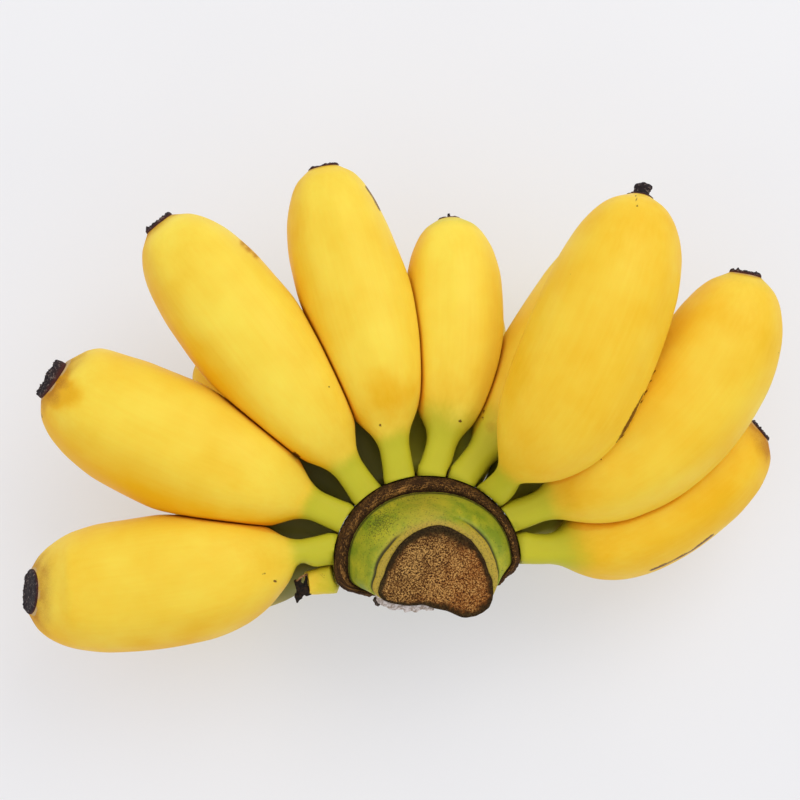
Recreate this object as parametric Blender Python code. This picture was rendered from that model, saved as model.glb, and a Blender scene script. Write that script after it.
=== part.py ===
"""A hand of small, plump bananas, lying as it does on a table with the cut end of its crown upwards.

One crown carries nine upper fruits in a fan, the stub of a tenth that was snapped off, and a lower row of
eight fruits that the hand rests on. Every fruit is one solid: its green stem, its body and its blossom tip.

The hand has its own frame, in millimetres: u to the right, v towards the back, w up from the fan, with its
zero in the middle of the crown's ring. The finished hand is tipped back by HAND_TILT and set on the ground.
"""

from collections import namedtuple

import bmesh
import bpy
import numpy as np

# Placing of the whole hand
MM = 0.001
HAND_TILT = 10.0        # degrees that the fan leans back
RING_HEIGHT = 48.9      # from the ground up to the middle of the crown's ring
GAP = 0.3               # kept between the crown and each stem, and between fruits that press on each other

# Crown, seen from above: half of an ellipse at the back, a blunter curve at the front
CROWN_HALF_WIDTH = 27.7
CROWN_BACK = 25.2
CROWN_FRONT = 11.0
FRONT_BLUNTNESS = 2.9           # how square the front is, from a round 2 upwards
FRONT_SKEW = 1.2                # squarer on the left by this much, and rounder on the right
RING_INNER_SHARE = 0.85         # the green dome starts here, inside the brown ring
CROWN_SIDES = 48
CROWN_UNDERSIDE = -24.0
# The wall that the stems join, from its underside up to the ring's outer edge: at each level, the share of
# the outline, and the share that is left of its front, which slopes in underneath
WALL_LEVELS = ((-23.4, 0.45, 0.3), (-21.6, 0.75, 0.35), (-18.8, 0.93, 0.4), (-15.5, 1.0, 0.45),
               (-6.0, 1.0, 0.8), (3.5, 1.0, 1.0), (5.6, 0.97, 1.0))
UNDERSIDE_BANDS = 3             # this many bands of the wall are green like the dome
RING_TOP = 6.6
DOME_SHARES = (0.12, 0.45, 0.8, 1.0)
CUT_CENTRE = (3.0, -2.5)
CUT_HEIGHT = 15.0               # of the middle of the cut face, above the ring
CUT_TILT = (0.20, -0.26)        # fall of the cut face, in mm per mm, towards the right and towards the back
# The cut face's edge: degrees round its centre, and distance from it
CUT_EDGE = ((0, 14.6), (30, 13.4), (60, 13.2), (90, 13.8), (120, 13.6), (150, 13.9), (180, 15.4),
            (200, 18.0), (225, 13.4), (250, 10.2), (280, 11.4), (305, 16.4), (325, 18.2), (345, 16.6))

# Stem and body of a fruit
Stem = namedtuple("Stem", "level length radius")     # length: of its straight part, before it starts to swell
UPPER_STEM = Stem(0.0, 12.0, 4.7)
LOWER_STEM = Stem(-11.8, 7.7, 6.0)
STEM_FLARE = 0.6                # extra radius where a stem joins the crown
FLARE_REACH = 2.0
RIDGES = 5
RIDGE_HEIGHT = 0.025            # as a share of the radius
# How far the body has swollen, along it from the stem to the blossom scar
SWELL = ((0.0, 0.0), (0.05, 0.22), (0.12, 0.54), (0.23, 0.82), (0.37, 0.97), (0.50, 1.0),
         (0.70, 0.955), (0.82, 0.82), (0.90, 0.63), (0.96, 0.37), (1.0, 0.0))
FRUIT_SIDES = 15
BODY_RINGS = 13
STEM_RINGS = 3
CENTRELINE_POINTS = 80
TANGENT_STEP = 0.5              # mm on each side, over which a centreline's heading is taken
PRESS_STEPS = 14                # halvings that find where a neighbour stops a point of the skin
SHARP_ANGLE = 50                # degrees between two faces, above which their edge isn't smooth
NUB_COLLAR = 0.4
NUB_LENGTH = 4.6                # the dried style left on one fruit
NUB_SHARE = 0.82                # its radius as a share of the scar's

# stem_angle: where the stem joins the ring, in degrees round it from the right
# stem_heading, stem_rise: the way the stem sets out, in the fan's plane and up from it
# tip: the blossom scar's place; tip_heading, tip_rise: the way the tip points
# stem_pull, tip_pull: how far those two ways hold, as shares of the fruit's length
Fruit = namedtuple(
    "Fruit",
    "stem_angle stem_heading stem_rise tip tip_heading tip_rise radius scar_radius stem_pull tip_pull",
)
UPPER_FRUITS = {
    "finger_01": Fruit(172, 190, 14, (-119.5, -9.1, 4), 178, 14, 20.0, 6.7, 0.30, 0.34),
    "finger_02": Fruit(151, 155, 12, (-112.3, 54.0, 1), 147, 10, 20.0, 6.3, 0.30, 0.30),
    "finger_03": Fruit(130, 124, 14, (-80.8, 101.3, -3), 129, 0, 17.9, 4.8, 0.30, 0.30),
    "finger_04": Fruit(107, 98, 8, (-31.3, 118.3, -7), 101, -2, 17.1, 4.7, 0.30, 0.30),
    "finger_05": Fruit(87, 70, -6, (7.0, 103.3, -14), 95, -10, 15.2, 3.5, 0.32, 0.30),
    "finger_06": Fruit(69.5, 50, -14, (61, 101, -22), 66, -5, 16.0, 4.0, 0.30, 0.30),
    "finger_07": Fruit(48, 42, 45, (62.2, 107, 14), 77, -15, 19.5, 4.0, 0.35, 0.30),
    "finger_08": Fruit(29.5, 20, 14, (95.1, 85.3, 2), 79, 0, 19.0, 4.8, 0.22, 0.48),
    "finger_09": Fruit(8.5, -10, -14, (102.7, 38.5, -16), 40, 8, 16.9, 4.0, 0.33, 0.30),
}
LOWER_FRUITS = {
    "lower_finger_01": Fruit(180, 184, -28, (-94, -9.0, -37), 184, 8, 14.5, 4.5, 0.30, 0.30),
    "lower_finger_02": Fruit(161.5, 163, -14, (-79, 20, -33), 168, -10, 13.5, 4.5, 0.30, 0.30),
    "lower_finger_03": Fruit(140.5, 145, -28, (-68.5, 58, -42), 139, -18, 14.0, 4.5, 0.30, 0.30),
    "lower_finger_04": Fruit(118.5, 121, -16, (-56, 80, -46), 122, -24, 13.5, 4.5, 0.30, 0.30),
    "lower_finger_05": Fruit(94.5, 103, -36, (-24, 96, -57), 100, -8, 14.5, 4.5, 0.30, 0.30),
    "lower_finger_06": Fruit(67, 72, -22, (12.5, 90, -59.3), 84, -22, 14.0, 4.5, 0.30, 0.30),
    "lower_finger_07": Fruit(43, 43, -14, (66, 60, -38), 40, -20, 14.0, 4.5, 0.30, 0.30),
    "lower_finger_08": Fruit(19, 22, -34, (86, 34, -45.2), 22, 6, 14.0, 4.5, 0.30, 0.30),
}
FRUIT_WITH_NUB = "finger_07"

# Broken stem: stands out from the crown and ends in a slanted tear
STUB_ANGLE = 190.5
STUB_LENGTH = 8.5
STUB_RADII = (4.6, 3.7)
STUB_RINGS = 4
STUB_LEVEL = -2.0
STUB_RISE = -10.0
STUB_SLANT = 0.45               # mm that the torn end leans back per mm up
STUB_GAP = 0.7                  # wider than GAP, as the crown's wall turns sharply there

# Colours, sRGB, with roughness
PEEL = ("ripe_peel", "F2CC42", 0.45)
STEM = ("green_stem", "BFC436", 0.5)
SCAR = ("dry_scar", "33241F", 0.85)
RING = ("corky_ring", "5A3C28", 0.9)
DOME = ("green_crown", "93A32B", 0.55)
CUT = ("cut_stalk", "8E6233", 0.95)
TEAR = ("torn_stem", "CDBB4A", 0.7)


def clear_scene():
    for thing in list(bpy.data.objects):
        bpy.data.objects.remove(thing, do_unlink=True)


def linear(hex_colour):
    """The linear values of an sRGB colour such as F2CC42."""
    values = np.array([int(hex_colour[i:i + 2], 16) / 255 for i in (0, 2, 4)])
    return np.where(values <= 0.04045, values / 12.92, ((values + 0.055) / 1.055) ** 2.4)


def material(name, hex_colour, roughness):
    made = bpy.data.materials.get(name) or bpy.data.materials.new(name)
    made.use_nodes = True
    shader = made.node_tree.nodes["Principled BSDF"]
    shader.inputs["Base Color"].default_value = (*linear(hex_colour), 1.0)
    shader.inputs["Roughness"].default_value = roughness
    shader.inputs["Metallic"].default_value = 0.0
    return made


def direction(heading, rise):
    heading, rise = np.radians(heading), np.radians(rise)
    return np.array([np.cos(heading) * np.cos(rise), np.sin(heading) * np.cos(rise), np.sin(rise)])


def to_ground(points):
    """Points of the hand's frame, tipped back and lifted above the ground."""
    tilt = np.radians(HAND_TILT)
    u, v, w = points[..., 0], points[..., 1], points[..., 2]
    return np.stack([
        u,
        v * np.cos(tilt) - w * np.sin(tilt),
        v * np.sin(tilt) + w * np.cos(tilt) + RING_HEIGHT,
    ], axis=-1)


def upwards():
    """The way up from the ground, in the hand's frame."""
    tilt = np.radians(HAND_TILT)
    return np.array([0.0, np.sin(tilt), np.cos(tilt)])


def smooth_curve(knots, at):
    """A smooth curve through the knots that never overshoots them, read at the given places."""
    xs, ys = np.array(knots, float).T
    steps = np.diff(xs)
    slopes = np.diff(ys) / steps
    tangents = np.zeros(len(xs))
    tangents[0], tangents[-1] = slopes[0], slopes[-1]
    for i in range(1, len(xs) - 1):
        if slopes[i - 1] * slopes[i] > 0:
            before, after = 2 * steps[i] + steps[i - 1], steps[i] + 2 * steps[i - 1]
            tangents[i] = (before + after) / (before / slopes[i - 1] + after / slopes[i])
    at = np.clip(at, xs[0], xs[-1])
    span = np.clip(np.searchsorted(xs, at) - 1, 0, len(steps) - 1)
    t = (at - xs[span]) / steps[span]
    return (
        (2 * t**3 - 3 * t**2 + 1) * ys[span]
        + (t**3 - 2 * t**2 + t) * steps[span] * tangents[span]
        + (3 * t**2 - 2 * t**3) * ys[span + 1]
        + (t**3 - t**2) * steps[span] * tangents[span + 1]
    )


def crown_outline(angles, share=1.0, front_share=1.0):
    """The crown's outline in the fan's plane, shrunk to a share of its size, and its front once more."""
    radians = np.radians(angles)
    across = np.cos(radians)
    power = FRONT_BLUNTNESS - FRONT_SKEW * across
    front = -CROWN_FRONT * (1 - np.abs(across) ** power) ** (1 / power)
    back = CROWN_BACK * np.sin(radians)
    v = np.where(np.sin(radians) > 0, back, front * front_share)
    return np.stack([CROWN_HALF_WIDTH * across, v], axis=-1) * share


def clear_of_crown(points):
    """Whether each point is outside the crown's wall."""
    u, v = points[..., 0] / CROWN_HALF_WIDTH, points[..., 1]
    power = FRONT_BLUNTNESS - FRONT_SKEW * np.clip(u, -1, 1)
    back = np.hypot(u, v / CROWN_BACK)
    front = (np.abs(u) ** power + np.abs(v / CROWN_FRONT) ** power) ** (1 / power)
    return np.where(v > 0, back, front) > 1 + GAP / CROWN_BACK


class Sweep:
    """A centreline from the crown outwards, and a radius at each distance along it."""

    def __init__(self, curve, radius_of, stem_length):
        steps = np.linalg.norm(np.diff(curve, axis=0), axis=1)
        self.curve, self.along = curve, np.concatenate([[0.0], np.cumsum(steps)])
        self.length = self.along[-1]
        self.radius_of, self.stem_length = radius_of, stem_length
        distances = np.linspace(0, self.length, CENTRELINE_POINTS)
        self.spine, self.girth = self.centre(distances), self.radius(distances)

    def centre(self, distances):
        return np.stack([np.interp(distances, self.along, self.curve[:, k]) for k in range(3)], axis=-1)

    def heading(self, distances):
        ahead = self.centre(np.minimum(distances + TANGENT_STEP, self.length))
        behind = self.centre(np.maximum(distances - TANGENT_STEP, 0.0))
        return (ahead - behind) / np.linalg.norm(ahead - behind, axis=-1, keepdims=True)

    def radius(self, distances):
        return self.radius_of(distances, self.length)

    def outside(self, points):
        """How far each point lies outside the round sweep; negative inside it."""
        apart = np.linalg.norm(points[..., None, :] - self.spine, axis=-1)
        return (apart - self.girth).min(axis=-1)


def fruit_sweep(fruit, stem):
    root = np.array([*crown_outline(fruit.stem_angle, 1 + GAP / CROWN_BACK), stem.level])
    tip = np.array(fruit.tip, float)
    reach = np.linalg.norm(tip - root)
    after_root = root + direction(fruit.stem_heading, fruit.stem_rise) * reach * fruit.stem_pull
    before_tip = tip - direction(fruit.tip_heading, fruit.tip_rise) * reach * fruit.tip_pull
    t = np.linspace(0, 1, 4 * CENTRELINE_POINTS)[:, None]
    curve = (
        (1 - t)**3 * root + 3 * (1 - t)**2 * t * after_root
        + 3 * (1 - t) * t**2 * before_tip + t**3 * tip
    )

    def radius(distances, length):
        body = (distances - stem.length) / (length - stem.length)
        thin = np.where(body > 0.5, fruit.scar_radius, stem.radius)
        swollen = np.where(body > 0, smooth_curve(SWELL, body), 0.0)
        return thin + (fruit.radius - thin) * swollen + STEM_FLARE * np.exp(-distances / FLARE_REACH)

    return Sweep(curve, radius, stem.length)


def stub_sweep():
    root = np.array([*crown_outline(STUB_ANGLE, 1 + STUB_GAP / CROWN_BACK), STUB_LEVEL])
    end = root + direction(STUB_ANGLE, STUB_RISE) * STUB_LENGTH

    def radius(distances, length):
        return STUB_RADII[0] + (STUB_RADII[1] - STUB_RADII[0]) * distances / length

    return Sweep(np.linspace(root, end, CENTRELINE_POINTS), radius, STUB_LENGTH)


def ring_distances(sweep):
    """Where the rings of vertices stand: close together at both ends of the body."""
    stem = np.linspace(0, sweep.stem_length, STEM_RINGS, endpoint=False)
    body = 0.5 - 0.5 * np.cos(np.linspace(0, np.pi, BODY_RINGS))
    return np.concatenate([stem, sweep.stem_length + body * (sweep.length - sweep.stem_length)])


def round_rings(sweep, distances, ridge=RIDGE_HEIGHT):
    """Rings of vertices round the centreline, with five faint ridges, and each ring's centre."""
    centres, ahead = sweep.centre(distances), sweep.heading(distances)
    over = upwards() - ahead * (ahead @ upwards())[:, None]
    over /= np.linalg.norm(over, axis=1, keepdims=True)
    aside = np.cross(ahead, over)
    turn = np.arange(FRUIT_SIDES) * 2 * np.pi / FRUIT_SIDES
    girth = sweep.radius(distances)[:, None] * (1 + ridge * np.cos(RIDGES * turn))
    spokes = (
        np.cos(turn)[None, :, None] * over[:, None] + np.sin(turn)[None, :, None] * aside[:, None]
    )
    return centres[:, None] + girth[..., None] * spokes, centres


def is_free(points, sweep, neighbours):
    """Whether each point of the rings is above the ground, off the crown and nearer to its own fruit."""
    free = to_ground(points)[..., 2] >= 0
    free[1:] &= clear_of_crown(points[1:])
    own = sweep.outside(points)
    for neighbour in neighbours:
        free &= own <= neighbour.outside(points) - GAP
    return free


def pressed(rings, centres, sweep, neighbours):
    """The rings with their vertices drawn in where a neighbour or the ground presses on them."""
    spokes = rings - centres[:, None]
    untouched = is_free(rings, sweep, neighbours)
    low, high = np.zeros(rings.shape[:2]), np.ones(rings.shape[:2])
    for _ in range(PRESS_STEPS):
        middle = (low + high) / 2
        free = is_free(centres[:, None] + spokes * middle[..., None], sweep, neighbours)
        low, high = np.where(free, middle, low), np.where(free, high, middle)
    share = np.where(untouched, 1.0, low)
    return centres[:, None] + spokes * share[..., None]


def seated(ring, gap=GAP):
    """A stem's first ring laid against the crown's curved wall, and the wall's point at its middle."""
    middle = ring.mean(axis=0)
    for points in (ring, middle[None]):
        angles = np.degrees(np.arctan2(points[:, 1] / CROWN_BACK, points[:, 0] / CROWN_HALF_WIDTH))
        points[:, :2] = crown_outline(angles, 1 + gap / CROWN_BACK)
    return ring, middle


def new_object(name, rings, ends, materials, face_material, end_material):
    """A closed solid through rings of points and a point at each end; face_material says each band's slot."""
    mesh = bpy.data.meshes.new(name)
    solid = bmesh.new()
    verts = [[solid.verts.new(point) for point in ring] for ring in to_ground(rings) * MM]
    tips = [solid.verts.new(point) for point in to_ground(np.array(ends)) * MM]
    sides = len(verts[0])
    for band in range(len(verts) - 1):
        for side in range(sides):
            after = (side + 1) % sides
            face = solid.faces.new((
                verts[band][side], verts[band][after], verts[band + 1][after], verts[band + 1][side],
            ))
            face.material_index = face_material[band]
    for tip, ring, slot in ((tips[0], verts[0], 0), (tips[1], verts[-1], end_material)):
        for side in range(sides):
            face = solid.faces.new((tip, ring[side], ring[(side + 1) % sides]))
            face.material_index = slot
    bmesh.ops.recalc_face_normals(solid, faces=solid.faces)
    solid.to_mesh(mesh)
    solid.free()
    for entry in materials:
        mesh.materials.append(material(*entry))
    mesh.shade_smooth()
    mesh.set_sharp_from_angle(angle=np.radians(SHARP_ANGLE))
    made = bpy.data.objects.new(name, mesh)
    bpy.context.scene.collection.objects.link(made)
    return made


def build_fruit(name, sweep, neighbours):
    distances = ring_distances(sweep)
    rings, centres = round_rings(sweep, distances)
    rings = pressed(rings, centres, sweep, neighbours)
    rings[0], wall_point = seated(rings[0])
    bands = [0 if distance < sweep.stem_length else 1 for distance in distances[:-1]]
    if name == FRUIT_WITH_NUB:
        ahead = sweep.heading(distances)[-1]
        waist = centres[-1] + (rings[-1] - centres[-1]) * NUB_SHARE
        rings = np.concatenate([rings, [waist + ahead * NUB_COLLAR, waist + ahead * NUB_LENGTH]])
        bands += [2, 2]
    return new_object(name, rings, (wall_point, rings[-1].mean(axis=0)), (STEM, PEEL, SCAR), bands, 2)


def cut_face_level(points):
    """The height of the slanted cut face over points of the fan's plane."""
    return CUT_HEIGHT - (points - np.array(CUT_CENTRE)) @ np.array(CUT_TILT)


def build_crown():
    angles = np.arange(CROWN_SIDES) * 360 / CROWN_SIDES
    turned = np.radians(angles)
    edge_knots = CUT_EDGE + ((360, CUT_EDGE[0][1]),)
    cut_radius = smooth_curve(edge_knots, angles)
    cut_edge = np.array(CUT_CENTRE) + cut_radius[:, None] * np.stack([np.cos(turned), np.sin(turned)], -1)
    ring_edge = crown_outline(angles, RING_INNER_SHARE)
    levels = [(crown_outline(angles, share, front), np.full(CROWN_SIDES, level))
              for level, share, front in WALL_LEVELS]
    levels.append((ring_edge, np.full(CROWN_SIDES, RING_TOP)))
    # The green dome rises from the ring to the cut face, steeply at first
    for share in DOME_SHARES:
        outline = ring_edge * (1 - share) + cut_edge * share
        rise = np.sin(share * np.pi / 2)
        levels.append((outline, RING_TOP + (cut_face_level(cut_edge) - RING_TOP) * rise))
    rings = np.array([np.column_stack([outline, level]) for outline, level in levels])
    ends = ((0.0, 0.0, CROWN_UNDERSIDE), (*CUT_CENTRE, CUT_HEIGHT))
    bands = [1] * UNDERSIDE_BANDS + [0] * (len(WALL_LEVELS) - UNDERSIDE_BANDS) + [1] * len(DOME_SHARES)
    return new_object("crown", rings, ends, (RING, DOME, CUT), bands, 2)


def build_broken_stem(sweep, neighbours):
    distances = np.linspace(0, sweep.length, STUB_RINGS)
    rings, centres = round_rings(sweep, distances, ridge=0.0)
    rings = pressed(rings, centres, sweep, neighbours)
    # The torn end leans back at its upper side
    ahead = sweep.heading(distances)[-1]
    height = (rings[-1] - centres[-1]) @ upwards()
    rings[-1] -= STUB_SLANT * height[:, None] * ahead
    rings[0], wall_point = seated(rings[0], STUB_GAP)
    ends = (wall_point, rings[-1].mean(axis=0))
    return new_object("broken_stem", rings, ends, (STEM, TEAR), (0, 0, 0), 1)


def build_hand():
    sweeps = {
        name: fruit_sweep(fruit, stem)
        for fruits, stem in ((UPPER_FRUITS, UPPER_STEM), (LOWER_FRUITS, LOWER_STEM))
        for name, fruit in fruits.items()
    }
    sweeps["broken_stem"] = stub_sweep()
    pieces = [build_crown()]
    for name, sweep in sweeps.items():
        neighbours = [other for other_name, other in sweeps.items() if other_name != name]
        if name == "broken_stem":
            pieces.append(build_broken_stem(sweep, neighbours))
        else:
            pieces.append(build_fruit(name, sweep, neighbours))
    return pieces


def centre_on_ground(pieces):
    """Hangs the pieces on one empty, which centres the hand's box on the origin, on the ground."""
    corners = np.array([vert.co for piece in pieces for vert in piece.data.vertices])
    low, high = corners.min(axis=0), corners.max(axis=0)
    hand = bpy.data.objects.new("hand", None)
    bpy.context.scene.collection.objects.link(hand)
    for piece in pieces:
        piece.parent = hand
    hand.location = (-(low[0] + high[0]) / 2, -(low[1] + high[1]) / 2, -low[2])


def main():
    clear_scene()
    centre_on_ground(build_hand())


main()
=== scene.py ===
"""A hand of small, plump bananas on a pale table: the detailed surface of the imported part.

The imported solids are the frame. Every one of them is replaced by a finer mesh of the same shape, made from
the same values. The hand's own frame is in millimetres: u to the right, v towards the back, w up from the
fan.
"""

from collections import namedtuple
from functools import partial

import bpy
import numpy as np
from bpy.props import FloatProperty, FloatVectorProperty, IntProperty, PointerProperty
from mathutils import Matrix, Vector, noise


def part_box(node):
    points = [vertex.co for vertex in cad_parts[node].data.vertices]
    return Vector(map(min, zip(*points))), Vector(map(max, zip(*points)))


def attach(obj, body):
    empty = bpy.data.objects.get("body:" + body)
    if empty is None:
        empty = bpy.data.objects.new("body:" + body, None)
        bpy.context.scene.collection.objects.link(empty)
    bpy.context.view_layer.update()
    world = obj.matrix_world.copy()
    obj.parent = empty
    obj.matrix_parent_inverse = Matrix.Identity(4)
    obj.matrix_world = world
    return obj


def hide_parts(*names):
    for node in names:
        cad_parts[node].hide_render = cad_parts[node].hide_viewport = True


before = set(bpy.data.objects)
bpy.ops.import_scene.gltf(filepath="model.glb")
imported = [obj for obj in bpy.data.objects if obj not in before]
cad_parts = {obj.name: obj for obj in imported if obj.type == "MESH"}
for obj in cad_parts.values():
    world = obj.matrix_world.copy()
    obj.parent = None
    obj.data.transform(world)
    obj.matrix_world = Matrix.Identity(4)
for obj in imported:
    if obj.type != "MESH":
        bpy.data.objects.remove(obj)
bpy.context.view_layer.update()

bl_info = {
    "name": "Banana hand",
    "version": (1, 0, 0),
    "blender": (4, 5, 0),
    "location": "3D View > Sidebar > Banana hand",
    "description": "Builds a hand of small bananas with its crown, blossom scars and a pale stage",
    "category": "Add Mesh",
}

MM = 0.001

# Placing of the whole hand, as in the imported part
HAND_TILT = 10.0
RING_HEIGHT = 48.9
GAP = 0.3
VIEWPOINT = np.array([-8.1, 48.0, 600.0])       # the eye, in the hand's frame

# Crown
CROWN_HALF_WIDTH = 27.7
CROWN_BACK = 25.2
CROWN_FRONT = 11.0
FRONT_BLUNTNESS = 2.9
FRONT_SKEW = 1.2
CROWN_UNDERSIDE = -24.0
WALL_BOTTOM = -15.5                             # the wall stands straight from here up
WALL_LEVELS = ((-23.4, 0.45, 0.3), (-21.6, 0.75, 0.35), (-18.8, 0.93, 0.4), (WALL_BOTTOM, 1.0, 0.45),
               (-6.0, 1.0, 0.8), (3.5, 1.0, 1.0), (5.2, 0.985, 1.0), (6.3, 0.955, 1.0))
RING_CREST = ((6.7, 0.93), (6.6, 0.895), (6.0, 0.874), (4.9, 0.858))
DOME_FOOT = (5.6, 0.843)
# The ring's width at these headings, as a share of what the shares above give
RING_WIDTH = ((0, 0.62), (30, 0.68), (60, 0.95), (90, 1.2), (130, 1.1), (180, 1.0), (270, 1.0), (330, 0.7),
              (360, 0.62))
DOME_STEPS = (0.06, 0.14, 0.25, 0.38, 0.52, 0.66, 0.8, 0.91, 1.0)
CUT_CENTRE = np.array([3.0, -2.5])
CUT_HEIGHT = 15.0
CUT_TILT = np.array([0.20, -0.26])
CUT_EDGE = ((0, 14.6), (30, 13.4), (60, 13.2), (90, 13.8), (120, 13.6), (150, 13.9), (180, 15.4),
            (200, 18.0), (225, 13.4), (250, 10.2), (280, 11.4), (305, 16.4), (325, 18.2), (345, 16.6))
# Where the dome's groove runs, as a share of the way from its foot to the cut, at these headings
GROOVE = ((0, 0.57), (70, 0.60), (105, 0.80), (140, 0.80), (180, 0.70), (220, 0.70), (262, 0.62), (330, 0.57),
          (360, 0.57))
GROOVE_DEPTH = 0.9
GROOVE_WIDTH = 0.045                            # a share of the way, too
# Headings between which the left part of that groove, and the lumps of the cork's front, fade in and fade out
GROOVE_LEFT = ((118, 150), (235, 262))
CORK_FRONT = ((205, 225), (330, 350))
# How far in from the cut's edge it is dark, in mm, at these headings
DARK_EDGE = ((0, 1.7), (25, 2.2), (50, 4.8), (80, 5.2), (105, 4.2), (140, 2.9), (175, 2.3), (225, 1.5),
             (262, 2.2), (290, 3.6), (330, 2.6), (360, 1.7))
UNDER_RIM = 0.4                                 # mm from the cut's plane down to the dome's edge
CROWN_SIDES = 440
CROWN_RING_STEP = 0.32                          # mm between rings of vertices
CORK_FIBRE = (1.8, 0.6)                         # mm along and across
RING_RADIUS = 26                                # mm to the middle of the ring, on average
SKIN_STARTS = 1.9                               # the part, as crown_meridians counts, where cork ends
UNDERSIDE_SKIN = -19.5                          # the level below which the crown keeps its skin
CUT_FACE_SIDES = 320
CUT_FACE_RINGS = 80
# The torn skin under the cut's lower edge: heading, and half width in mm
TORN_SKIN = ((198, 0.4), (205, 1.5), (214, 1.7), (224, 1.6), (234, 1.5), (244, 1.3), (254, 1.0), (264, 0.4))
# The crumb that hangs from it: places in mm on the fan's plane as the eye sees them, level, and half width
TORN_CRUMB = (((-15.2, -11.2), 9.5, 0.7), ((-15.0, -12.0), 9.2, 1.1), ((-14.8, -12.8), 8.6, 1.0),
              ((-14.6, -13.7), 7.6, 0.3))
STRIP_SIDES = 20

# Stem and body of a fruit
Stem = namedtuple("Stem", "level length radius")
UPPER_STEM = Stem(0.0, 12.0, 4.7)
LOWER_STEM = Stem(-11.8, 7.7, 6.0)
STEM_FLARE = 0.6
FLARE_REACH = 2.0
STEM_SQUARENESS = 0.045
RIDGES = 5
SWELL = ((0.0, 0.0), (0.05, 0.22), (0.12, 0.54), (0.23, 0.82), (0.37, 0.97), (0.50, 1.0),
         (0.70, 0.955), (0.82, 0.82), (0.90, 0.63), (0.96, 0.37), (1.0, 0.0))
NECK_ROUNDING = 3.2                             # mm each way
CENTRELINE_POINTS = 80
TANGENT_STEP = 0.5
PRESS_STEPS = 12
PRESS_SOFTNESS = 0.07                           # how gently a flattened side turns into the round
RINGS_PER_SIDE = 1.45                           # rings along a fruit's body for each face round it
TOUCH_REACH = 0.8                               # mm from a neighbour over which the skin browns and is painted darker with the shade between them
FAR_FROM_LINES = 9.0                               # mm to the nearest line, scratch and painted shade alike, where there is none
SKIN_SHIFT = 40.0                               # mm between the patterns of two fruits
PEEL = "Banana peel, ripe and waxy"

Fruit = namedtuple(
    "Fruit",
    "stem_angle stem_heading stem_rise tip tip_heading tip_rise radius scar_radius stem_pull tip_pull",
)
UPPER_FRUITS = {
    "finger_01": Fruit(172, 190, 14, (-119.5, -9.1, 4), 178, 14, 20.0, 6.7, 0.30, 0.34),
    "finger_02": Fruit(151, 155, 12, (-112.3, 54.0, 1), 147, 10, 20.0, 6.3, 0.30, 0.30),
    "finger_03": Fruit(130, 124, 14, (-80.8, 101.3, -3), 129, 0, 17.9, 4.8, 0.30, 0.30),
    "finger_04": Fruit(107, 98, 8, (-31.3, 118.3, -7), 101, -2, 17.1, 4.7, 0.30, 0.30),
    "finger_05": Fruit(87, 70, -6, (7.0, 103.3, -14), 95, -10, 15.2, 3.5, 0.32, 0.30),
    "finger_06": Fruit(69.5, 50, -14, (61, 101, -22), 66, -5, 16.0, 4.0, 0.30, 0.30),
    "finger_07": Fruit(48, 42, 45, (62.2, 107, 14), 77, -15, 19.5, 4.0, 0.35, 0.30),
    "finger_08": Fruit(29.5, 20, 14, (95.1, 85.3, 2), 79, 0, 19.0, 4.8, 0.22, 0.48),
    "finger_09": Fruit(8.5, -10, -14, (102.7, 38.5, -16), 40, 8, 16.9, 4.0, 0.33, 0.30),
}
LOWER_FRUITS = {
    "lower_finger_01": Fruit(180, 184, -28, (-94, -9.0, -37), 184, 8, 14.5, 4.5, 0.30, 0.30),
    "lower_finger_02": Fruit(161.5, 163, -14, (-79, 20, -33), 168, -10, 13.5, 4.5, 0.30, 0.30),
    "lower_finger_03": Fruit(140.5, 145, -28, (-68.5, 58, -42), 139, -18, 14.0, 4.5, 0.30, 0.30),
    "lower_finger_04": Fruit(118.5, 121, -16, (-56, 80, -46), 122, -24, 13.5, 4.5, 0.30, 0.30),
    "lower_finger_05": Fruit(94.5, 103, -36, (-24, 96, -57), 100, -8, 14.5, 4.5, 0.30, 0.30),
    "lower_finger_06": Fruit(67, 72, -22, (12.5, 90, -59.3), 84, -22, 14.0, 4.5, 0.30, 0.30),
    "lower_finger_07": Fruit(43, 43, -14, (66, 60, -38), 40, -20, 14.0, 4.5, 0.30, 0.30),
    "lower_finger_08": Fruit(19, 22, -34, (86, 34, -45.2), 22, 6, 14.0, 4.5, 0.30, 0.30),
}

# How ripe each fruit is. neck: mm from the crown where the green ends. gold: depth of its yellow, 0 to 1.
# halo: mm of tan skin round the scar. tip_green: how green the skin beside the scar is, 0 to 1.
Ripeness = namedtuple("Ripeness", "neck gold halo tip_green ridge_turn", defaults=(36,))
RIPENESS = {
    "finger_01": Ripeness(19, 0.26, 4.2, 0.0),
    "finger_02": Ripeness(17, 0.22, 3.4, 0.1, 48),
    "finger_03": Ripeness(17, 0.12, 1.5, 0.1),
    "finger_04": Ripeness(18, 0.15, 0.6, 0.1),
    "finger_05": Ripeness(26, 0.0, 0.4, 0.5),
    "finger_06": Ripeness(30, 0.30, 1.5, 0.2),
    "finger_07": Ripeness(20, 0.50, 0.6, 0.2),
    "finger_08": Ripeness(21, 0.42, 0.8, 0.3),
    "finger_09": Ripeness(24, 0.68, 5.0, 0.1),
}
LOWER_RIPENESS = Ripeness(34, 0.5, 3.0, 0.3)

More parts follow.
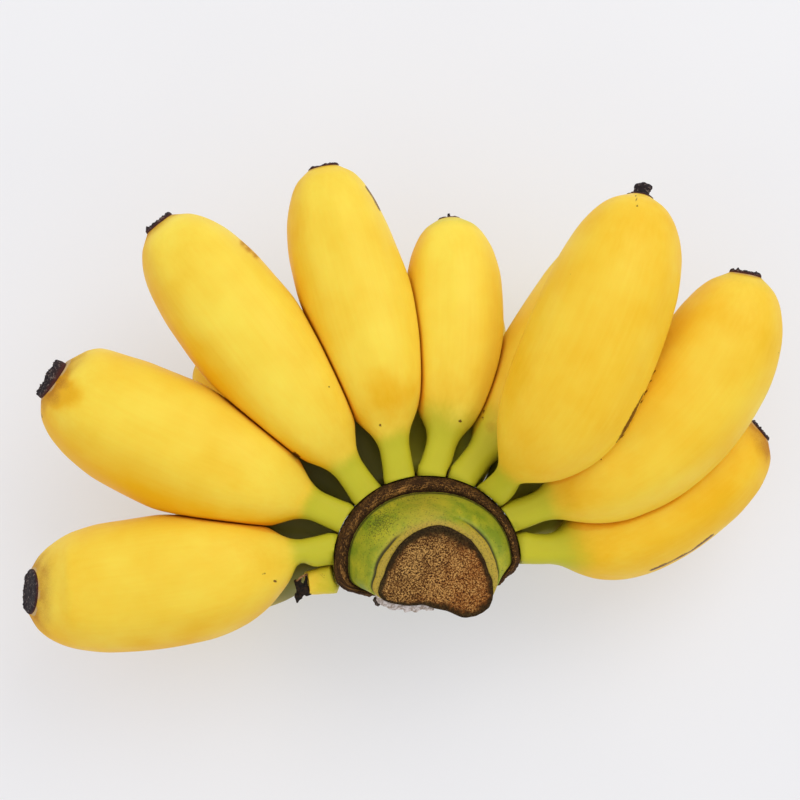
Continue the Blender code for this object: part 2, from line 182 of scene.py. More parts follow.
# Blossom scars. thickness and raggedness in mm. tilt: degrees that the scar is turned up. lean: how much
# thicker it is on one side. swing: degrees that the scar is turned aside
Blossom = namedtuple("Blossom", "thickness raggedness tilt lean swing", defaults=(0.0, 0.0, 0.0))
BLOSSOMS = {
    "finger_01": Blossom(0.8, 0.5, 13.0),
    "finger_02": Blossom(2.0, 1.5, 5.0, 0.4, 3.0),
    "finger_03": Blossom(1.1, 1.3, 5.0),
    "finger_04": Blossom(0.5, 0.6, 0.0, 0.2),
    "finger_05": Blossom(0.2, 0.3),
    "finger_06": Blossom(1.0, 0.5),
    "finger_07": Blossom(0.5, 0.5),
    "finger_08": Blossom(0.9, 1.2),
    "finger_09": Blossom(0.5, 0.9),
    "lower_finger_03": Blossom(0.4, 0.3, -20.0),
}
LOWER_BLOSSOM = Blossom(1.0, 0.6)
FRUIT_WITH_NUB = "finger_07"
FRUIT_WITH_POINT = "finger_05"
SCAR_TILT_REACH = 16.0                          # mm of a fruit's end that turn with its scar
# A blossom scar's profile from under the peel to its middle: share of its radius, and of its thickness
SCAR_PROFILE = (
    (0.86, -0.9), (0.95, -0.5), (1.0, -0.1), (1.01, 0.2), (0.98, 0.55), (0.91, 0.85), (0.83, 0.92),
    (0.74, 0.80), (0.64, 0.64), (0.53, 0.54), (0.42, 0.52), (0.31, 0.60), (0.20, 0.74), (0.10, 0.86),
)
SCAR_SIDES = 96
# The dried style: share of its length, and radius in mm
NUB_PROFILE = ((-0.15, 2.9), (0.0, 3.4), (0.06, 3.3), (0.10, 2.5), (0.25, 2.15), (0.5, 2.25), (0.72, 2.5),
               (0.88, 2.1), (0.97, 1.2), (1.0, 0.4))
NUB_LENGTH = 4.9
NUB_SIDES = 40

# Scratches and dark lines on the skin: mm on the fan's plane as the eye sees them. The second and third are
# partly a brown line on the skin and partly painted shadow of the crevice where the seventh fruit lies over
# the eighth
SCRATCHES_AND_SHADE_LINES = (
    ((-18.2, 112.1), (-16.0, 108.6), (-14.0, 105.0)),
    # partly painted shadow of the crevice along the seventh fruit's edge, where it lies over the eighth
    ((68.4, 57.0), (65.4, 49.5), (60.3, 40.5), (57.3, 35.1)),
    ((65.1, 49.7), (60.0, 40.7), (57.0, 35.3)),
    ((85.8, 7.6), (79.0, 2.5), (72.9, -0.7), (66.9, -3.3)),
    ((-39.9, 32.3), (-38.4, 30.9)),
    ((-116.2, 44.2), (-115.6, 42.8)),
    ((62.7, 109.2), (63.0, 106.2)),
    ((-45.8, -6.3), (-45.4, -6.4)),
    ((-49.3, -4.0), (-48.6, -3.8)),
    ((9.8, 41.8), (10.1, 41.6)),
    ((-14.1, 40.6), (-14.0, 40.3)),
    ((17.1, 44.8), (17.0, 44.4)),
    ((16.7, 42.7), (16.8, 42.4)),
    ((105.6, 62.6), (105.7, 62.2)),
)
# Rubbed and stained patches, and painted shade at the bases of the fourth, fifth, eighth and ninth fruits:
# middle and radius in mm, how tan they are, and how much they deepen the yellow
RUBS_AND_PAINTED_SHADE = (
    ((-54.9, 95.2), 2.2, 0.75, 0.3),
    ((-53.1, 93.7), 2.4, 0.85, 0.3),
    ((-51.2, 91.7), 2.2, 0.75, 0.3),
    ((-110.6, 53.4), 5.0, 0.75, 0.9),
    ((-112.3, 49.6), 5.0, 0.6, 0.9),
    ((-108.5, 49.8), 7.0, 0.3, 0.6),
    ((19.0, 40.0), 3.0, 0.35, 0.2),
    # The last four: painted shade at the bases of the fourth, fifth, eighth and ninth fruits
    ((-12.0, 49.0), 11.0, 0.1, 0.5),
    ((4.0, 51.0), 10.0, 0.1, 0.35),
    ((42.0, 18.5), 7.0, 0.22, 0.2),
    ((40.5, 2.5), 9.0, 0.12, 0.2),
)
# Painted shade: the side of the fan that lies away from the key light is painted a deeper gold, as shade
# falls there
SHADE_SIDE = np.array([-0.60, -0.70, -0.38])
PAINTED_SHADE_GOLD = {"finger_01": 0.65, "finger_02": 0.9, "finger_03": 0.75, "finger_04": 0.6, "finger_05": 0.8}
# Notches, and bulges with a depth below zero: the side, in degrees round the fruit, the place along it (from
# the tip if it is below zero), the reach and the depth
NOTCHES = {
    "finger_01": ((270, 11.0, 2.6, 3.4),),
    "finger_02": ((90, -5.0, 7.0, -2.2),),
    "finger_04": ((90, -20.0, 15.0, 1.0),),
    "finger_07": ((90, 13.5, 4.5, 2.2), (90, 36.0, 14.0, -2.2)),
    "lower_finger_06": ((90, 7.0, 6.0, -3.5),),
    "lower_finger_07": ((270, 10.0, 6.0, -4.5),),
}

# How green the bodies of the lower row are, where it isn't 0.45, and how strongly painted shade darkens its
# stems between the two rows, where it isn't 0.85
LOWER_GREEN = {"lower_finger_03": 0.0}
PAINTED_SHADE_ON_STEMS = {"lower_finger_05": 0.4, "lower_finger_06": 0.35, "lower_finger_07": 0.6, "lower_finger_08": 0.6}

# Broken stem
STUB_ANGLE = 190.5
STUB_LENGTH = 8.5
STUB_RADII = (4.6, 3.7)
STUB_LEVEL = -2.0
STUB_RISE = -10.0
STUB_SLANT = 0.45
STUB_GAP = 0.7
STUB_SIDES = 96
STUB_RINGS = 48
TORN_END = (0.97, 0.9, 0.8, 0.68, 0.55, 0.42, 0.3, 0.18, 0.08)      # shares of its radius
# Cracks in a star on the stub, like SCRATCHES_AND_SHADE_LINES
STAR = (
    ((-32.0, -4.3), (-30.8, -5.4)),
    ((-32.0, -5.5), (-30.7, -4.5)),
    ((-31.5, -3.9), (-31.3, -4.9)),
)
# The dried shred's prongs and its fibre: name, places in mm on the fan's plane as the eye sees them, levels,
# half widths, thickness, and material
SHREDS = (
    ("stem_shred",
     ((-36.2, -4.6), (-36.3, -6.2), (-36.6, -7.8), (-37.4, -9.2), (-38.6, -11.0), (-39.0, -12.8)),
     (-0.5, -0.8, -1.2, -1.8, -2.8, -4.0), (0.3, 0.5, 0.9, 1.7, 1.0, 0.2), 0.6, "black"),
    ("stem_shred_fork", ((-39.8, -6.1), (-38.6, -7.2), (-37.2, -8.6), (-35.6, -9.6), (-34.6, -9.9)),
     (-1.2, -0.8, -0.8, -1.2, -1.8), (0.3, 1.1, 1.6, 1.1, 0.4), 0.6, "black"),
    ("stem_shred_prong", ((-37.8, -5.4), (-38.0, -6.6), (-37.9, -8.0)),
     (0.0, -0.2, -0.8), (0.2, 0.45, 0.6), 0.35, "black"),
    ("stem_shred_fibre", ((-35.8, -4.2), (-37.4, -5.0), (-39.3, -6.3)),
     (0.2, 0.3, -0.4), (0.25, 0.4, 0.2), 0.25, "brown"),
)

# Stage, in metres. Soft boxes: name, place, side, and share of the key light's power
TABLE_HALF_WIDTH = 6.0
SOFT_BOXES = (
    ("key_light", (0.55, 0.60, 1.15), 0.9, 1.0),
    ("top_light", (-0.25, -0.05, 1.30), 1.2, 0.25),
)


def linear(hex_colour):
    """The linear red, green and blue of an sRGB colour such as F2CC42."""
    values = [int(hex_colour[i:i + 2], 16) / 255 for i in (0, 2, 4)]
    return tuple(v / 12.92 if v <= 0.04045 else ((v + 0.055) / 1.055) ** 2.4 for v in values)


def colour_property(name, description, hex_colour):
    return FloatVectorProperty(
        name=name, description=description, subtype="COLOR", size=3, min=0.0, max=1.0,
        default=linear(hex_colour),
    )


class BananaPeelSettings(bpy.types.PropertyGroup):
    lemon: colour_property("Lemon", "Lightest yellow of the ripe peel", "FCE050")
    gold: colour_property("Gold", "Deepest yellow of the ripe peel", "F2BA18")
    neck_green: colour_property("Neck green", "Green of the stems and of the neck", "C6C02E")
    tan: colour_property("Tan", "Dry skin round the blossom scar and on rubbed patches", "AE681E")
    scratch: colour_property("Scratch", "Dried scratches, and skin where two fruits press", "561A02")
    blossom: colour_property("Blossom scar", "Dried blossom end", "21161A")
    ridge_height: FloatProperty(
        name="Ridge height", description="Height of the five soft ridges along a fruit",
        default=0.00022, min=0.0, max=0.002, unit="LENGTH",
    )
    upper_sides: IntProperty(
        name="Upper sides", description="Faces round an upper fruit", default=84, min=24, max=160,
    )
    lower_sides: IntProperty(
        name="Lower sides", description="Faces round a fruit of the lower row", default=56, min=24, max=160,
    )


class BananaCrownSettings(bpy.types.PropertyGroup):
    bark: colour_property("Bark", "Dark cork of the ring", "35200C")
    fibre: colour_property("Fibre", "Light fibres in the ring's cork", "AC7A3C")
    skin: colour_property("Skin", "Green skin of the crown", "80931C")
    band: colour_property("Band", "Yellow skin just under the cut", "B79C2E")
    cut: colour_property("Cut", "Brown of the dried cut face", "7C5226")
    cut_fibre: colour_property("Cut fibre", "Light ends of the fibres in the cut face", "DCAA60")
    torn: colour_property("Torn", "Pale torn fibres", "D6CCC6")


class BananaStageSettings(bpy.types.PropertyGroup):
    floor: colour_property("Floor", "Pale light table", "B8B8B9")
    lens: FloatProperty(
        name="Lens", description="Focal length of the camera", default=90.0, min=10.0, unit="CAMERA",
    )
    key_power: FloatProperty(
        name="Key light", description="Power of the soft light from the upper right, in watts",
        default=4.75, min=0.0,
    )
    glow: FloatProperty(
        name="Table glow", description="Strength of the light that comes up through the table", default=0.415,
        min=0.0,
    )
    fill: FloatProperty(
        name="Fill", description="Strength of the even light from all round", default=0.80, min=0.0,
    )


def direction(heading, rise):
    heading, rise = np.radians(heading), np.radians(rise)
    return np.array([np.cos(heading) * np.cos(rise), np.sin(heading) * np.cos(rise), np.sin(rise)])


def hand_place():
    """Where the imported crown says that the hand's frame stands, in mm."""
    low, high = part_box("crown")
    tilt = np.radians(HAND_TILT)
    reach = CROWN_BACK * np.cos(tilt) - WALL_BOTTOM * np.sin(tilt)
    return np.array([(low.x + high.x) / 2 / MM, high.y / MM - reach, RING_HEIGHT])


HAND_PLACE = hand_place()


def placed(points):
    """Points of the hand's frame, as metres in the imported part's frame."""
    tilt = np.radians(HAND_TILT)
    points = np.asarray(points, float)
    u, v, w = points[..., 0], points[..., 1], points[..., 2]
    turned = np.stack([
        u,
        v * np.cos(tilt) - w * np.sin(tilt),
        v * np.sin(tilt) + w * np.cos(tilt),
    ], axis=-1)
    return (turned + HAND_PLACE) * MM


def upwards():
    """The way up from the table, in the hand's frame."""
    tilt = np.radians(HAND_TILT)
    return np.array([0.0, np.sin(tilt), np.cos(tilt)])


def unit(vectors):
    """The vectors, made 1 long."""
    return vectors / np.linalg.norm(vectors, axis=-1, keepdims=True)


def under_eye(place, level):
    """The point at this level that the eye sees at a place of the fan's plane."""
    share = 1 - level / VIEWPOINT[2]
    return np.array([*(VIEWPOINT[:2] + (np.array(place) - VIEWPOINT[:2]) * share), level])


def seen_on_fan(points):
    """Where the eye sees the points, on the fan's plane."""
    depth = VIEWPOINT[2] / (VIEWPOINT[2] - points[..., 2:3])
    return VIEWPOINT[:2] + (points[..., :2] - VIEWPOINT[:2]) * depth


def smooth_curve(knots, at):
    """A smooth curve through the knots that never overshoots them, read at the given places."""
    xs, ys = np.array(knots, float).T
    steps = np.diff(xs)
    slopes = np.diff(ys) / steps
    tangents = np.zeros(len(xs))
    tangents[0], tangents[-1] = slopes[0], slopes[-1]
    for i in range(1, len(xs) - 1):
        if slopes[i - 1] * slopes[i] > 0:
            before, after = 2 * steps[i] + steps[i - 1], steps[i] + 2 * steps[i - 1]
            tangents[i] = (before + after) / (before / slopes[i - 1] + after / slopes[i])
    at = np.clip(at, xs[0], xs[-1])
    span = np.clip(np.searchsorted(xs, at) - 1, 0, len(steps) - 1)
    t = (at - xs[span]) / steps[span]
    return (
        (2 * t**3 - 3 * t**2 + 1) * ys[span]
        + (t**3 - 2 * t**2 + t) * steps[span] * tangents[span]
        + (3 * t**2 - 2 * t**3) * ys[span + 1]
        + (t**3 - t**2) * steps[span] * tangents[span + 1]
    )


def soft_step(values, low, high):
    """0 below low, 1 above high, and smooth between them."""
    t = np.clip((values - low) / (high - low), 0.0, 1.0)
    return t * t * (3 - 2 * t)


def soft_between(values, rise, fall):
    """1 between two soft steps and 0 outside them, each given by its start and its end."""
    return soft_step(values, *rise) * (1 - soft_step(values, *fall))


def bell(values, middle, width):
    """1 at the middle, and smoothly down to nearly 0 at twice the width from it."""
    return np.exp(-((values - middle) / width) ** 2)


def turns_of(sides):
    """Even turns round a ring, in radians."""
    return np.arange(sides) * 2 * np.pi / sides


def spokes_of(turn, over, aside):
    """The ways out at these turns round one ring, or round each of many."""
    return np.cos(turn)[:, None] * over[..., None, :] + np.sin(turn)[:, None] * aside[..., None, :]


def lumps(points, size, seed):
    """Smooth random numbers from about -1 to 1 at the points, for lumps of this size in mm."""
    start = Vector((seed * 17.31, seed * 5.17, seed * 29.73))
    flat = np.asarray(points, float).reshape(-1, 3) / size
    return np.array([noise.noise(Vector(p) + start) for p in flat]).reshape(np.shape(points)[:-1])


def crown_outline(angles, share=1.0, front_share=1.0):
    """The crown's outline in the fan's plane, shrunk to a share of its size, and its front once more."""
    radians = np.radians(angles)
    across = np.cos(radians)
    power = FRONT_BLUNTNESS - FRONT_SKEW * across
    front = -CROWN_FRONT * (1 - np.abs(across) ** power) ** (1 / power)
    back = CROWN_BACK * np.sin(radians)
    v = np.where(np.sin(radians) > 0, back, front * front_share)
    return np.stack([CROWN_HALF_WIDTH * across, v], axis=-1) * share


def clear_of_crown(points):
    """Whether each point is outside the crown's wall."""
    u, v = points[..., 0] / CROWN_HALF_WIDTH, points[..., 1]
    power = FRONT_BLUNTNESS - FRONT_SKEW * np.clip(u, -1, 1)
    back = np.hypot(u, v / CROWN_BACK)
    front = (np.abs(u) ** power + np.abs(v / CROWN_FRONT) ** power) ** (1 / power)
    return np.where(v > 0, back, front) > 1 + GAP / CROWN_BACK


class Sweep:
    """A centreline from the crown outwards, and a radius at each distance along it."""

    def __init__(self, curve, radius_of, stem_length):
        steps = np.linalg.norm(np.diff(curve, axis=0), axis=1)
        self.curve, self.along = curve, np.concatenate([[0.0], np.cumsum(steps)])
        self.length = self.along[-1]
        self.radius_of, self.stem_length = radius_of, stem_length
        distances = np.linspace(0, self.length, CENTRELINE_POINTS)
        self.spine, self.girth = self.centre(distances), self.radius(distances)

    def centre(self, distances):
        return np.stack([np.interp(distances, self.along, self.curve[:, k]) for k in range(3)], axis=-1)

    def heading(self, distances):
        ahead = self.centre(np.minimum(distances + TANGENT_STEP, self.length))
        behind = self.centre(np.maximum(distances - TANGENT_STEP, 0.0))
        return unit(ahead - behind)

    def radius(self, distances):
        return self.radius_of(distances, self.length)

    def outside(self, points):
        """How far each point lies outside the round sweep; negative inside it."""
        square = (
            (points ** 2).sum(axis=-1)[..., None] - 2 * points @ self.spine.T
            + (self.spine ** 2).sum(axis=-1)
        )
        return (np.sqrt(np.maximum(square, 0.0)) - self.girth).min(axis=-1)

    def axes(self, distances):
        """The ways up from, aside of and along the centreline."""
        ahead = self.heading(distances)
        over = unit(upwards() - ahead * (ahead @ upwards())[..., None])
        return over, np.cross(ahead, over), ahead

    def far_end(self):
        """The middle and the radius of the far end, and the ways up, aside and ahead there."""
        end = np.array([self.length])
        return (self.centre(end)[0], self.radius(end)[0], *(axis[0] for axis in self.axes(end)))


def fruit_sweep(fruit, stem):
    root = np.array([*crown_outline(fruit.stem_angle, 1 + GAP / CROWN_BACK), stem.level])
    tip = np.array(fruit.tip, float)
    reach = np.linalg.norm(tip - root)
    after_root = root + direction(fruit.stem_heading, fruit.stem_rise) * reach * fruit.stem_pull
    before_tip = tip - direction(fruit.tip_heading, fruit.tip_rise) * reach * fruit.tip_pull
    t = np.linspace(0, 1, 4 * CENTRELINE_POINTS)[:, None]
    curve = (
        (1 - t)**3 * root + 3 * (1 - t)**2 * t * after_root
        + 3 * (1 - t) * t**2 * before_tip + t**3 * tip
    )

    def plain_radius(distances, length):
        body = (distances - stem.length) / (length - stem.length)
        thin = np.where(body > 0.5, fruit.scar_radius, stem.radius)
        return thin + (fruit.radius - thin) * np.where(body > 0, smooth_curve(SWELL, body), 0.0)

    def radius(distances, length):
        """The solid's radius, with the corner at its neck rounded."""
        moves = np.linspace(-NECK_ROUNDING, NECK_ROUNDING, 9)
        rounded = np.mean([plain_radius(distances + move, length) for move in moves], axis=0)
        in_body = soft_step(distances, 2 * stem.length, 4 * stem.length)
        mixed = rounded * (1 - in_body) + plain_radius(distances, length) * in_body
        return mixed + STEM_FLARE * np.exp(-distances / FLARE_REACH)

    return Sweep(curve, radius, stem.length)


def stub_sweep():
    root = np.array([*crown_outline(STUB_ANGLE, 1 + STUB_GAP / CROWN_BACK), STUB_LEVEL])
    end = root + direction(STUB_ANGLE, STUB_RISE) * STUB_LENGTH

    def radius(distances, length):
        return STUB_RADII[0] + (STUB_RADII[1] - STUB_RADII[0]) * distances / length

    return Sweep(np.linspace(root, end, CENTRELINE_POINTS), radius, STUB_LENGTH)


def all_sweeps():
    sweeps = {
        name: fruit_sweep(fruit, stem)
        for fruits, stem in ((UPPER_FRUITS, UPPER_STEM), (LOWER_FRUITS, LOWER_STEM))
        for name, fruit in fruits.items()
    }
    sweeps["broken_stem"] = stub_sweep()
    return sweeps


SWEEPS = all_sweeps()


def neighbours_of(name):
    return [sweep for other, sweep in SWEEPS.items() if other != name]


def is_free(points, on_stem_end, own_sweep, neighbours):
    """Whether each point is above the table, off the crown and nearer to its own fruit."""
    free = placed(points)[..., 2] >= 0
    free &= on_stem_end | clear_of_crown(points)
    own = own_sweep.outside(points)
    for neighbour in neighbours:
        free &= own <= neighbour.outside(points) - GAP
    return free


def pressed(rings, centres, sweep, neighbours):
    """The rings drawn in, with a soft edge, where a neighbour or the table presses on them."""
    middles = np.broadcast_to(centres[:, None], rings.shape).reshape(-1, 3)
    spokes = rings.reshape(-1, 3) - middles
    on_stem_end = np.repeat(np.arange(len(rings)) == 0, rings.shape[1])
    furthest = 1 + PRESS_SOFTNESS
    caught = ~is_free(middles + spokes * furthest, on_stem_end, sweep, neighbours)
    limit = np.full(len(spokes), furthest)
    low, high = np.zeros(caught.sum()), np.full(caught.sum(), furthest)
    for _ in range(PRESS_STEPS):
        halfway = (low + high) / 2
        points = middles[caught] + spokes[caught] * halfway[:, None]
        free = is_free(points, on_stem_end[caught], sweep, neighbours)
        low, high = np.where(free, halfway, low), np.where(free, high, halfway)
    limit[caught] = low
    blend = np.clip(0.5 + 0.5 * (limit - 1) / PRESS_SOFTNESS, 0, 1)
    share = limit + (1 - limit) * blend - PRESS_SOFTNESS * blend * (1 - blend)
    return (middles + spokes * share[:, None]).reshape(rings.shape)


def seated(ring, gap=GAP):
    """A stem's first ring laid against the crown's curved wall, and the wall's point at its middle."""
    middle = ring.mean(axis=0)
    for points in (ring, middle[None]):
        angles = np.degrees(np.arctan2(points[:, 1] / CROWN_BACK, points[:, 0] / CROWN_HALF_WIDTH))
        points[:, :2] = crown_outline(angles, 1 + gap / CROWN_BACK)
    return ring, middle


def tube_faces(rings, sides):
    """Faces through rings of vertices, and fans to one more vertex at each end."""
    side = np.arange(sides)
    after = (side + 1) % sides
    faces = []
    for band in range(rings - 1):
        near, far = band * sides, (band + 1) * sides
        faces += np.stack([near + side, near + after, far + after, far + side], axis=1).tolist()
    first, last = rings * sides, rings * sides + 1
    end = (rings - 1) * sides
    faces += np.stack([np.full(sides, first), after, side], axis=1).tolist()
    faces += np.stack([np.full(sides, last), end + side, end + after], axis=1).tolist()
    return faces


def with_ends(on_rings, first, last):
    """The numbers on a tube's rings as one list, and after them those of the points that close its ends."""
    on_rings = np.asarray(on_rings, float)
    return np.concatenate([on_rings.reshape(-1, *np.shape(first)), [first, last]])


def middles(rings):
    """The points that close a tube at the middle of its first and its last ring."""
    return rings[0].mean(axis=0), rings[-1].mean(axis=0)


def new_tube(name, rings, ends, materials, slot, replaced=(), **numbers):
    """A smooth closed tube through rings, riding on the hand. Its materials read the points' numbers."""
    mesh = bpy.data.meshes.new(name)
    mesh.from_pydata(placed(with_ends(rings, *ends)).tolist(), [], tube_faces(*rings.shape[:2]))
    mesh.shade_smooth()
    for made in materials:
        mesh.materials.append(made)
    for key, values in numbers.items():
        kind, field = ("FLOAT_VECTOR", "vector") if np.ndim(values) == 2 else ("FLOAT", "value")
        attribute = mesh.attributes.new(key, kind, "POINT")
        attribute.data.foreach_set(field, np.asarray(values, np.float32).ravel())
    piece = bpy.data.objects.new(name, mesh)
    bpy.context.scene.collection.objects.link(piece)
    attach(piece, "root")
    if replaced:
        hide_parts(*replaced)
    return piece


# Settings that many nodes share, and the sockets of a colour Mix node
COLOURS = {"data_type": "RGBA"}
SMOOTH = {"interpolation_type": "SMOOTHSTEP"}
TIMES_PLUS = {"operation": "MULTIPLY_ADD"}
SHARE, UNDER, OVER, MIXED = 0, 6, 7, 2


def fill(node, inputs):
    """Sets or links a node's inputs, which are given by name or in order."""
    for key, value in inputs.items() if isinstance(inputs, dict) else enumerate(inputs):
        if isinstance(value, bpy.types.NodeSocket):
            node.id_data.links.new(value, node.inputs[key])
        else:
            node.inputs[key].default_value = value


def add_node(tree, kind, output, inputs=(), **settings):
    """Adds a node with its settings and links, and gives one of its outputs."""
    node = tree.nodes.new("ShaderNode" + kind)
    for name, value in settings.items():
        setattr(node, name, value)
    fill(node, inputs)
    return node.outputs[output]


def rgba(colour):
    return (*(linear(colour) if isinstance(colour, str) else colour), 1.0)


def new_material(name, **constants):
    """A material whose shader has these constants, its shader, and add_node for its tree."""
    made = bpy.data.materials.new(name)
    made.use_nodes = True
    shader = made.node_tree.nodes["Principled BSDF"]
    fill(shader, {socket.replace("_", " "): value for socket, value in constants.items()})
    return made, shader, partial(add_node, made.node_tree)


def peel_material(look):
    """Banana peel, ripe: waxy skin over soft fibres. It glows a little at its edges, with no hard gloss."""
    made, shader, add = new_material(
        PEEL, Subsurface_Weight=0.12, Subsurface_Radius=(1.0, 0.55, 0.12), Subsurface_Scale=0.003,
        IOR=1.45, Specular_IOR_Level=0.2,
    )
    green, gold, tan, touch, scratch, lip, painted_shade = (
        add("Attribute", "Fac", attribute_name=key)
        for key in ("green", "gold", "tan", "touch", "scratch_mm", "lip", "painted_shade")
    )
    skin = add("Attribute", "Vector", attribute_name="skin_mm")
    # Ripening patches, 16 mm across
    patches = add("TexNoise", "Fac", {"Vector": skin, "Scale": 1 / 16, "Detail": 3.0, "Roughness": 0.55})
    # Fibres under the skin, 1.1 mm wide and 30 mm long
    lengthwise = add("VectorMath", "Vector", (skin, (1 / 1.1, 1 / 1.1, 1 / 30)), operation="MULTIPLY")
    fibres = add("TexNoise", "Fac", {"Vector": lengthwise, "Scale": 1.0})
    # Pores, drawn 0.5 mm apart so that they show
    pores = add("TexNoise", "Fac", {"Vector": skin, "Scale": 1 / 0.5, "Roughness": 0.6})

    uneven = add("Math", "Value", (patches, 0.9, -0.45), **TIMES_PLUS)
    uneven = add("Math", "Value", (fibres, 0.25, uneven), **TIMES_PLUS)
    gold = add("Math", "Value", (uneven, gold), operation="ADD", use_clamp=True)
    green = add("Math", "Value", (uneven, 0.6, green), **TIMES_PLUS)
    green = add("MapRange", "Result", (green, 0.12), **SMOOTH)
    colour = rgba(look.lemon)
    for share, over in ((gold, look.gold), (green, look.neck_green)):
        colour = add("Mix", MIXED, {SHARE: share, UNDER: colour, OVER: rgba(over)}, **COLOURS)
    # Skin that two fruits press on browns along the line where they meet, and this darkening also paints the
    # shade in the crease between them
    press_and_shade = add("MapRange", "Result", (touch, 0.35, 1.0, 0.0, 0.45), **SMOOTH)
    colour = add(
        "Mix", MIXED, {SHARE: press_and_shade, UNDER: colour, OVER: rgba(look.gold)}, blend_type="MULTIPLY", **COLOURS,
    )

    grain = add("Math", "Value", (pores, 0.7, -0.35), **TIMES_PLUS)
    tan = add("Math", "Value", (grain, tan, tan), **TIMES_PLUS)
    tan = add("MapRange", "Result", (tan, 0.05, 1.0, 0.0, 0.8), **SMOOTH)
    # The skin's torn lip round the blossom scar, pale where it dried
    lip = add("Math", "Value", (grain, lip), operation="ADD")
    lip = add("MapRange", "Result", (lip, 0.35, 0.75, 0.0, 0.75), **SMOOTH)
    # Sugar specks: a few dots about 0.4 mm across, in cells 7 mm apart
    cells = add("TexVoronoi", "Distance", {"Vector": skin, "Scale": 1 / 7})
    dot = add("MapRange", "Result", (cells, 0.022, 0.045, 1.0, 0.0))
    chance = add("SeparateColor", "Red", (cells.node.outputs["Color"],))
    chance = add("Math", "Value", (green, 0.25, chance), **TIMES_PLUS)
    rare = add("Math", "Value", (chance, 0.88), operation="GREATER_THAN")
    specks = add("Math", "Value", (dot, rare), operation="MULTIPLY")
    # Scratches, 0.7 mm wide with a broken edge, and lines of painted crevice shadow drawn the same way
    scratch = add("Math", "Value", (pores, 0.6, scratch), **TIMES_PLUS)
    scratch = add("MapRange", "Result", (scratch, 0.42, 0.75, 1.0, 0.0), **SMOOTH)
    dark = add("Math", "Value", (specks, scratch), operation="MAXIMUM")
    dark = add("Math", "Value", (dark, 0.93), operation="MULTIPLY")
    # Painted shade: the stems deep between the two rows are painted dark olive, as shade falls there
    for share, over in ((tan, look.tan), (lip, "CBAF7C"), (dark, look.scratch), (painted_shade, "5E5C30")):
        colour = add("Mix", MIXED, {SHARE: share, UNDER: colour, OVER: rgba(over)}, **COLOURS)

    rough = add("MapRange", "Result", (patches, 0.3, 0.7, 0.42, 0.55))
    rough = add("Math", "Value", (tan, 0.3, rough), **TIMES_PLUS)
    relief = add("Math", "Value", (fibres, 1.1, pores), **TIMES_PLUS)
    bump = add("Bump", "Normal", {"Height": relief, "Strength": 0.25, "Distance": 0.00008})
    fill(shader, {"Base Color": colour, "Roughness": rough, "Normal": bump})
    return made


def blossom_material(look):
    """Dried blossom end: shrunken, nearly black plant tissue, dull, with lighter crumbs on it."""
    made, shader, add = new_material("Banana blossom end, dried", Specular_IOR_Level=0.3)
    place = add("TexCoord", "Object")
    # Crumbs 0.9 mm across
    crumbs = add("TexNoise", "Fac", {"Vector": place, "Scale": 1 / 0.0009, "Detail": 4.0, "Roughness": 0.65})
    light = add("MapRange", "Result", (crumbs, 0.53, 0.66, 0.0, 0.7), **SMOOTH)
    edge = add("Attribute", "Fac", attribute_name="rim")
    colour = rgba(look.blossom)
    for share, over in ((light, "8C7A70"), (edge, "4A1F17")):
        colour = add("Mix", MIXED, {SHARE: share, UNDER: colour, OVER: rgba(over)}, **COLOURS)
    rough = add("MapRange", "Result", {"Value": crumbs, "To Min": 0.6})
    bump = add("Bump", "Normal", {"Height": crumbs, "Strength": 0.8, "Distance": 0.0003})
    fill(shader, {"Base Color": colour, "Roughness": rough, "Normal": bump})
    return made


def bark_material(look):
    """Cork of the crown's ring: torn, dry fibres that run round it, dark with light ends. It has no gloss."""
    made, shader, add = new_material(
        "Banana crown cork, dry and fibrous", Specular_IOR_Level=0.2, Roughness=0.92,
    )
    ring = add("Attribute", "Vector", attribute_name="ring_mm")
    crest = add("Attribute", "Fac", attribute_name="crest")
    # Fibres 0.35 mm thick and 0.8 mm long, broken into crumbs 0.35 mm across, in tufts of 4 mm
    along = add("VectorMath", "Vector", (ring, (1 / 0.8, 1 / 0.35, 1 / 0.35)), operation="MULTIPLY")
    fibres = add("TexNoise", "Fac", {
        "Vector": along, "Scale": 1.0, "Detail": 3.0, "Roughness": 0.6, "Distortion": 0.5,
    })
    crumbs = add("TexNoise", "Fac", {"Vector": ring, "Scale": 1 / 0.35, "Roughness": 0.7})
    tufts = add("TexNoise", "Fac", {"Vector": ring, "Scale": 1 / 4})
    light = add("Math", "Value", (tufts, 0.7, fibres), **TIMES_PLUS)
    light = add("Math", "Value", (crumbs, 1.1, light), **TIMES_PLUS)
    light = add("MapRange", "Result", (light, 1.36, 1.68), **SMOOTH)
    # the light fibres fade out towards the seam with the dome: painted shade of that crevice
    light = add("Math", "Value", (light, crest), operation="MULTIPLY")
    colour = add("Mix", MIXED, {SHARE: light, UNDER: rgba(look.bark), OVER: rgba(look.fibre)}, **COLOURS)
    bump = add("Bump", "Normal", {"Height": fibres, "Strength": 0.9, "Distance": 0.0004})
    fill(shader, {"Base Color": colour, "Normal": bump})
    return made


